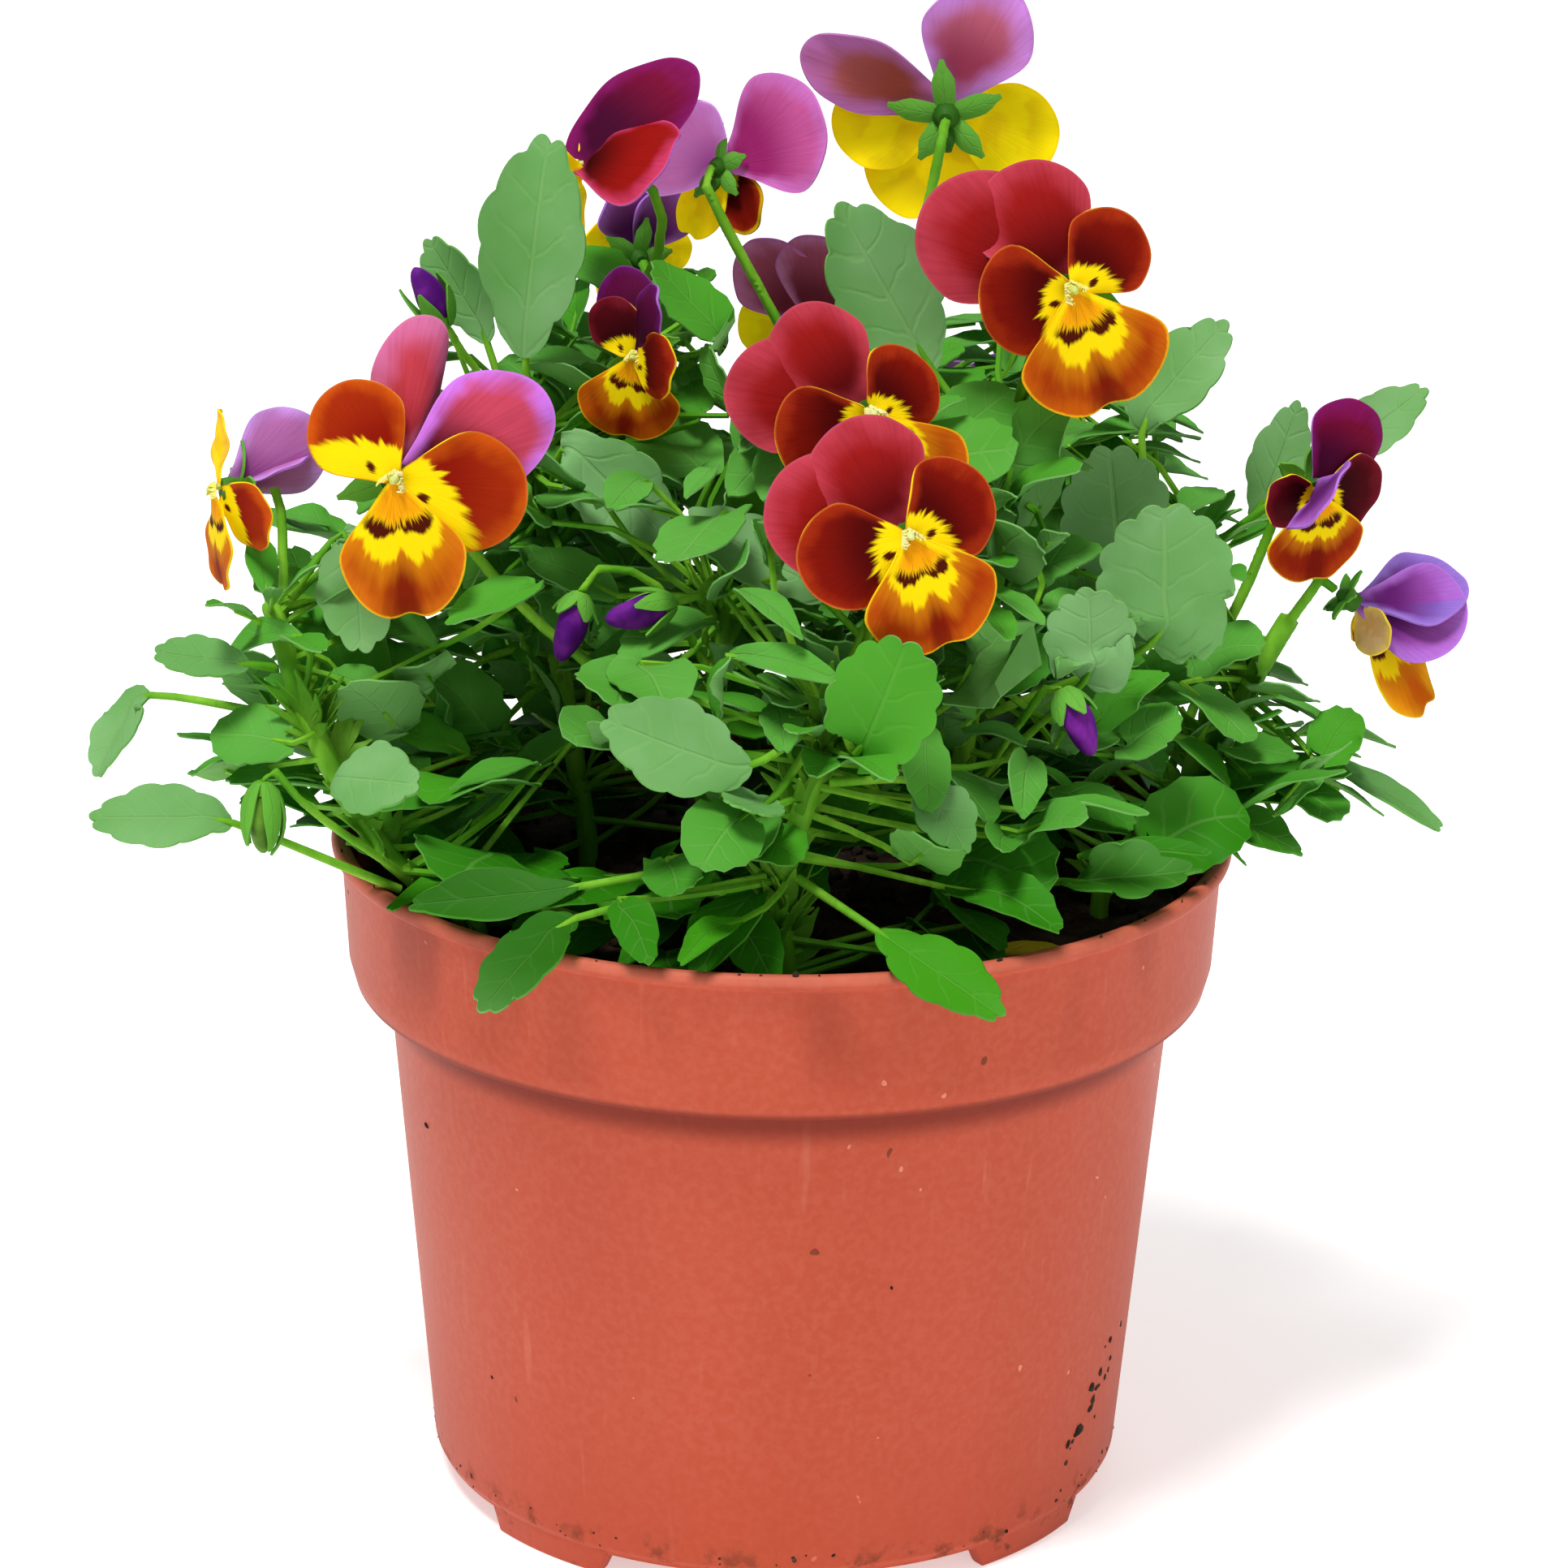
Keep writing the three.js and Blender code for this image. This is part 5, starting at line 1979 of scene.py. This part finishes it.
    def foliage(self, stems: dict[str, Object], count: int) -> list[Object]:
        """Grows the small leaves of all shoots.

        Args:
            stems: the shoots' stems by name.
            count: how many leaves are grown.

        Returns:
            The leaves, one piece for each shoot.
        """
        spots = [(place, out, name) for name, stem in stems.items()
                 for place, out in self.anchors(stem, self.roots)]
        tree = KDTree(len(spots))
        for i, (place, _, _) in enumerate(spots):
            tree.insert(place, i)
        tree.balance()
        meshes = {name: bmesh.new() for name in stems}
        grown = 0
        for _ in range(count * self.tries):
            if grown == count:
                break
            goal = self.aim()
            near = [i for place, i, far in tree.find_range(goal, self.stalk[1])
                    if far > self.stalk[0] and place.z < goal.z + 6 * MM]
            if not near:
                continue
            root, out, name = spots[CHANCE.choice(near[:self.nearest])]
            found = self.leaf_at(goal, root, out)
            if found is None or not self.fits(*found):
                continue
            add_leaf(meshes[name], *found, between(0, 6.28),
                     self.young if CHANCE.random() < 0.25 else self.mature, *self.small)
            grown += 1
        LOG.info("foliage: %d leaves", grown)
        for name in stems:
            top = max((spot[0] for spot in spots if spot[2] == name), key=lambda spot: spot.z)
            if top.z < self.dome[-2][0] * MM:
                self.rosette(meshes[name], top)
        return [make_piece(f"foliage_{name}", mesh, [SMALL_TOP, LEAF_UNDER, STEM_SKIN, YOUNG_TOP]) for name, mesh in meshes.items()]

    def rosette(self, mesh: BMesh, top: Vector) -> None:
        """Grows the young leaves round a shoot's end.

        Args:
            mesh: the mesh that they are added to.
            top: the shoot's end.
        """
        for i in range(self.rosette_leaves):
            out = bearing(2.4 * i + between(-0.3, 0.3))
            rise = 1.5 - 1.5 * i / self.rosette_leaves + between(-0.1, 0.2)
            way = (out + UP * max(rise, 0.1)).normalized()
            size = (7 + 0.9 * i) * between(0.85, 1.15) * MM
            root = top + out * 0.6 * MM - UP * (1.0 + 0.35 * i) * MM
            knee, tip = root + way * size * 0.4, root + way * size + out * size * 0.3
            if not self.clear(tip) or not self.clear(knee):
                continue
            spine = Spine.through([root, knee, (knee + tip) / 2 + UP * size * 0.05, tip], 4)
            face = (UP * 1.2 - out * 0.3 * rise + UP * 0.2).normalized()
            add_leaf(mesh, LONG if i % 3 else NARROW, LeafLie(spine, 0.25, size * 0.34, face),
                     between(0, 6.28), self.young, *self.small)

    def stipules(self, shoot: Shoot, stem: Object) -> Object:
        """Grows the feathery stipules of one shoot, each a fan of narrow lobes.

        Args:
            shoot: the shoot.
            stem: its stem.

        Returns:
            The stipules as one piece.
        """
        mesh = bmesh.new()
        for root, out in self.anchors(stem, shoot.stipules):
            way = (UP * between(0.8, 1.5) + out * between(0.3, 0.8)).normalized()
            side = way.cross(out).normalized()
            length = between(7.5, 11.5) * MM
            if not self.clear(root + way * length):
                continue
            for turn in (-58, -30, 0, 30, 58):
                angle = radians(turn + between(-8, 8))
                ahead = way * cos(angle) + side * sin(angle)
                reach = length * (1 - abs(turn) / 130) * between(0.8, 1.1)
                width = (2.9 if turn == 0 else between(1.5, 2.3)) * MM
                foot, tip = root - out * 0.4 * MM, root + ahead * reach
                add_strap(mesh, foot, tip, side.cross(way), width)
        return make_piece(f"stipules_{shoot.name}", mesh, [STIPULE_SKIN])


def add_strap(mesh: BMesh, root: Vector, tip: Vector, out: Vector, width: float) -> None:
    """Adds a narrow pointed strap, as the lobe of a stipule.

    Args:
        mesh: the mesh that it is added to.
        root, tip: its two ends.
        out: the way its outer side looks.
        width: its width.
    """
    bow = out * (tip - root).length * 0.08
    spine = Spine.through([root, (root + tip) / 2 - bow, tip], 3)

    def place(x: float, y: float) -> Spot:
        """Carries a place on the strap to where the strap is."""
        t = (y + 1) / 2
        spot, along = spine.at(t)
        side = along.cross(out).normalized()
        half = x * (0.55 + 1.3 * t * (1 - t)) * (1 - 0.8 * ease(t, 0.5, 1.0)) * width / 2
        return spot + side * half, (0.5 + x / 2, t), (0.5 + x / 2, t)

    add_sheet(mesh, (2, 5), place, ("blade", "rim"), 0.25 * MM, (0, 0), False)


# ---- Stage


@dataclass(frozen=True)
class Lamp:
    """A square lamp: where it hangs, its side in metres and its power in watts."""

    name: str
    place: tuple[float, float, float]
    size: float
    power: float

    def hang(self, target: Vector) -> None:
        """Hangs the lamp.

        Args:
            target: the place that it looks at.
        """
        data = bpy.data.lights.new(self.name, "AREA")
        data.shape, data.size, data.energy = "SQUARE", self.size, self.power
        lamp = bpy.data.objects.new(self.name, data)
        lamp.location = self.place
        aim = target - Vector(self.place)
        lamp.rotation_euler = aim.to_track_quat("-Z", "Y").to_euler()
        bpy.context.scene.collection.objects.link(lamp)


@dataclass
class Stage:
    """Floor, soft light and the camera."""

    target: Vector = field(default_factory=lambda: Vector((0.0002, 0.0, 0.0965)))
    distance: float = 0.661
    elevation: float = 17.9
    roll: float = 0.75
    lens: float = 114.04
    sky: float = 0.3
    lamps: tuple[Lamp, ...] = (Lamp("key", (-0.3, -0.5, 1.5), 0.4, 22.0),
                               Lamp("fill", (0.8, -1.3, 0.6), 1.0, 3.0),
                               Lamp("rim", (0.2, 1.2, 1.1), 1.0, 3.0))

    @classmethod
    def show(cls) -> Vector:
        """Returns the direction from the planter to the camera."""
        rise = radians(cls.elevation)
        return Vector((0.0, -cos(rise), sin(rise)))

    def camera(self) -> None:
        """Sets up the camera."""
        back = self.show()
        right = Vector((1.0, 0.0, 0.0))
        top = back.cross(right)
        turn = radians(self.roll)
        across = right * cos(turn) + top * sin(turn)
        upward = top * cos(turn) - right * sin(turn)
        data = bpy.data.cameras.new("camera")
        data.lens, data.sensor_width = self.lens, 36.0
        data.clip_start, data.clip_end = 0.01, 20.0
        camera = bpy.data.objects.new("camera", data)
        place = self.target + back * self.distance
        camera.matrix_world = axes_matrix(across, upward, back, place)
        bpy.context.scene.collection.objects.link(camera)
        bpy.context.scene.camera = camera

    def floor(self) -> None:
        """Lays the plain floor."""
        mesh = bmesh.new()
        bmesh.ops.create_circle(mesh, cap_ends=True, segments=96, radius=6.0)
        floor = add_object("floor", mesh)
        floor.data.materials.append(PlainFloor("floor").material())

    def build(self) -> None:
        """Sets up the whole stage."""
        self.camera()
        self.floor()
        for lamp in self.lamps:
            lamp.hang(self.target)
        scene = bpy.context.scene
        scene.world = bpy.data.worlds.new("studio")
        scene.world.use_nodes = True
        sky = scene.world.node_tree.nodes["Background"]
        sky.inputs[0].default_value = (1.0, 1.0, 1.0, 1.0)
        sky.inputs[1].default_value = self.sky
        scene.view_settings.view_transform = "Standard"


# ---- The planter


FLOWERS: dict[str, dict[Part, PetalShape]] = {
    "front": arranged(
        upper_left=petal(-46, 17), upper_right=petal(-2, 15.5), side_left=petal(-80),
        side_right=petal(84, 11.8), lower=petal(187)),
    "middle": arranged(
        upper_left=petal(-42, 16.6, 14), upper_right=petal(-4, 15, 12.5),
        side_left=petal(-82, 11.5), side_right=petal(84, 9.2, 11), lower=petal(186)),
    "high_right": arranged(
        upper_left=petal(-24, 18.3), upper_right=petal(9, 14.8, 14),
        side_left=petal(-67, 10.2, 12.5), side_right=petal(81, 10.4, 10.5), lower=petal(196)),
    "left": arranged(
        upper_left=petal(-14, 17.2, 10, roll=2.4, front=PINK_UPPER, back=BLUE_BACK),
        upper_right=petal(38, 18, 13, front=LILAC_UPPER),
        side_left=petal(-63, 11.8, 11.5, front=BRIGHT_SIDE),
        side_right=petal(76, 14, front=BRIGHT_SIDE),
        lower=petal(151, 15.2, 13.6, front=BRIGHT_LOWER)),
    "far_left": arranged(
        upper_left=petal(-20, 13, 11, front=PALE_UPPER, pitch=-60),
        upper_right=petal(14, 16.4, 14, front=PALE_UPPER, pitch=-56, twist=72, curl=0.5),
        side_left=petal(-30, 12, 6, front=YELLOW_UPPER),
        side_right=petal(112, 12.5, 10.5, pitch=-14, front=BRIGHT_SIDE),
        lower=petal(length=15, width=12, front=BRIGHT_LOWER)),
    "small": arranged(
        upper_left=petal(-26, 15, 11, front=PURPLE_UPPER, pitch=-20),
        upper_right=petal(4, 14, 9, front=PURPLE_UPPER, pitch=30, twist=-55),
        side_left=petal(-42, 10.5, 9, front=DARK_SIDE), side_right=petal(88, 12, 11, pitch=55)),
    "right": arranged(
        upper_left=petal(-60, front=PURPLE_UPPER, pitch=72, width=14),
        upper_right=petal(27, 14.7, 14.5, front=MAGENTA_UPPER),
        side_left=petal(-106, 9.5, 9, front=DARK_SIDE, pitch=20),
        side_right=petal(92, 11.5, front=DARK_SIDE), lower=petal(166, 15.4, 16, front=DARK_LOWER)),
    "drooping": arranged(
        upper_left=petal(-14, 21, 19, front=MAGENTA_UPPER, back=LILAC_BACK, pitch=66, twist=52),
        upper_right=petal(14, 21, 19, front=MAGENTA_UPPER, back=BLUE_BACK, pitch=52, twist=38),
        side_left=petal(-116, 10, 9, pitch=50, back=TAN_BACK),
        side_right=petal(116, 10, 9, pitch=50, back=TAN_BACK),
        lower=petal(pitch=72, twist=40, length=24, width=17, front=GOLD_LOWER)),
    "top": arranged(
        upper_left=petal(-24, 17.5, 13.5, back=ROSE_BACK),
        upper_right=petal(60, 18.5, 9.5, claw=0.5, back=BROWN_BACK),
        side_left=petal(-112, width=12), side_right=petal(96, width=12), lower=petal(166, 14.3)),
    "top_left": arranged(
        upper_left=petal(-14, 20.5, 12, front=MAGENTA_UPPER, pitch=-43, twist=62, turn=8,
                         claw=0.8, lift=1.8),
        upper_right=petal(34, 15, 15.5, front=RED_UPPER, pitch=-58, turn=-8, lift=1.0),
        side_left=petal(-100, 9, pitch=30), side_right=petal(100, 7.5, 7, pitch=50),
        lower=petal(length=12, width=9)),
    "behind": arranged(
        upper_left=petal(-60, 22, 20.5, back=PINK_BACK),
        upper_right=petal(58, 14, 19, pitch=-34, lift=-2.4, claw=0.75, back=PALE_BACK),
        side_left=petal(-145, 12, 9, lift=-1.2, back=TURNED_SIDE), side_right=petal(120, 8),
        lower=petal(156, 13, 9, lift=-1.6)),
    "dark": arranged(
        upper_left=petal(front=PURPLE_UPPER, back=PLUM_BACK),
        upper_right=petal(front=PURPLE_UPPER, back=PLUM_BACK), side_left=petal(front=DARK_SIDE),
        side_right=petal(front=DARK_SIDE)),
    "back_left": arranged(
        upper_left=petal(front=LILAC_UPPER, length=13, width=11),
        upper_right=petal(front=LILAC_UPPER, length=13, width=11),
        side_left=petal(length=9.5, width=9), side_right=petal(length=9.5, width=9),
        lower=petal(length=10, width=11)),
    "back_right": arranged(),
}

# Calyxes of flowers whose petals are bent back over them.
SWEPT = {"top_left": {"sepal_sweep": 70.0, "cup": 0.55}}

# Leaves with a skin of their own, and leaves that are wider than their node. rim_front_right
# wears the lighter young-leaf skin as painted light against the shadow of the leaf above it,
# and the two left rim leaves wear the darker low-leaf skin as painted shade.
SKINS = {"front_centre": YOUNG_TOP, "rim_front_right": YOUNG_TOP, "rim_left": LOW_TOP,
         "rim_front_left": LOW_TOP}
WIDE = {"big_upright": 1.16, "upright_centre": 1.2}

# Places that the foliage leaves open to the show side, each with a radius, in millimetres.
SHOWN = (((8, 22, 158), 9.0), ((-29, 22, 160), 8.0), ((-34, -5, 110), 8.0), ((-23, 0, 91), 7.0),
         ((12, -15, 88), 5.0))

BUDS = (
    Bud("left_centre", cover=0.35), Bud("centre", cover=0.6), Bud("right", cover=0.4),
    Bud("high_left", cover=0.7), Bud("low_left", GREEN_BUD, 0.9),
)

# Space over the soil that is kept for watering, and the room kept open before each flower
# and bud.
WATERING = (Vector((0.030, -0.045, 0.0)), Vector((0.056, -0.008, 0.094)))
FLOWER_ROOM = 14 * MM
BUD_ROOM = 6 * MM
SMALL_LEAVES = 680

SHOOTS = (
    Shoot("front", 16), Shoot("left", 14), Shoot("right", 16), Shoot("centre", 5),
    Shoot("tall", 4), Shoot("back", 4), Shoot("back_left", 5), Shoot("back_right", 5),
    Shoot("rear", 5),
)


def leaf_kind(name: str) -> BladeShape:
    """Picks a named leaf's blade, mostly by how long the leaf is for its width.

    Args:
        name: the leaf's name.

    Returns:
        The blade's shape.
    """
    lie = LeafLie.of(f"leaf_{name}")
    ratio = lie.spine.length * (1 - lie.start) / lie.width
    if name == "curly_right":
        return CURLY
    if ratio < 1.3:
        return ROUND
    return LONG if ratio < 2.35 else NARROW


def main() -> None:
    """Builds the planter piece by piece."""
    logging.basicConfig(level=logging.INFO, format="%(name)s: %(message)s")
    Stage().build()
    pot = Pot()
    pot.build()
    pot.dirt()
    soil = Soil(pot)
    soil.build()
    stems = {shoot.name: shoot.stem() for shoot in SHOOTS}
    solid = list(stems.values())
    for name, petals in FLOWERS.items():
        solid += Flower(name, petals, **SWEPT.get(name, {})).build()
    for bud in BUDS:
        solid += bud.build()
    for node in sorted(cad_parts):
        if node.startswith("leaf_"):
            name = node.removeprefix("leaf_")
            skin, wide = SKINS.get(name, LEAF_TOP), WIDE.get(name, 1.0)
            solid.append(Leaf(name, leaf_kind(name), skin, wide).build())
    solid.append(FallenLeaf().build())
    faces = {name: flower_matrix(f"flower_{name}") for name in FLOWERS}
    shown = [(face.translation, FLOWER_ROOM) for name, face in faces.items()
             if not name.startswith("back")]
    for bud in BUDS:
        low, high = (Vector(corner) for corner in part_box(f"bud_{bud.name}"))
        shown.append(((low + high) / 2, BUD_ROOM))
    shown += [(Vector(spot) * MM, radius * MM) for spot, radius in SHOWN]
    grower = Grower(soil, Vector(CAD_BOX[0]), Vector(CAD_BOX[1]), WATERING,
                    list(faces.values()), joined_tree(solid), Stage.show(), shown)
    grower.foliage(stems, SMALL_LEAVES)
    for shoot in SHOOTS:
        grower.stipules(shoot, stems[shoot.name])


if __name__ == "__main__":
    main()
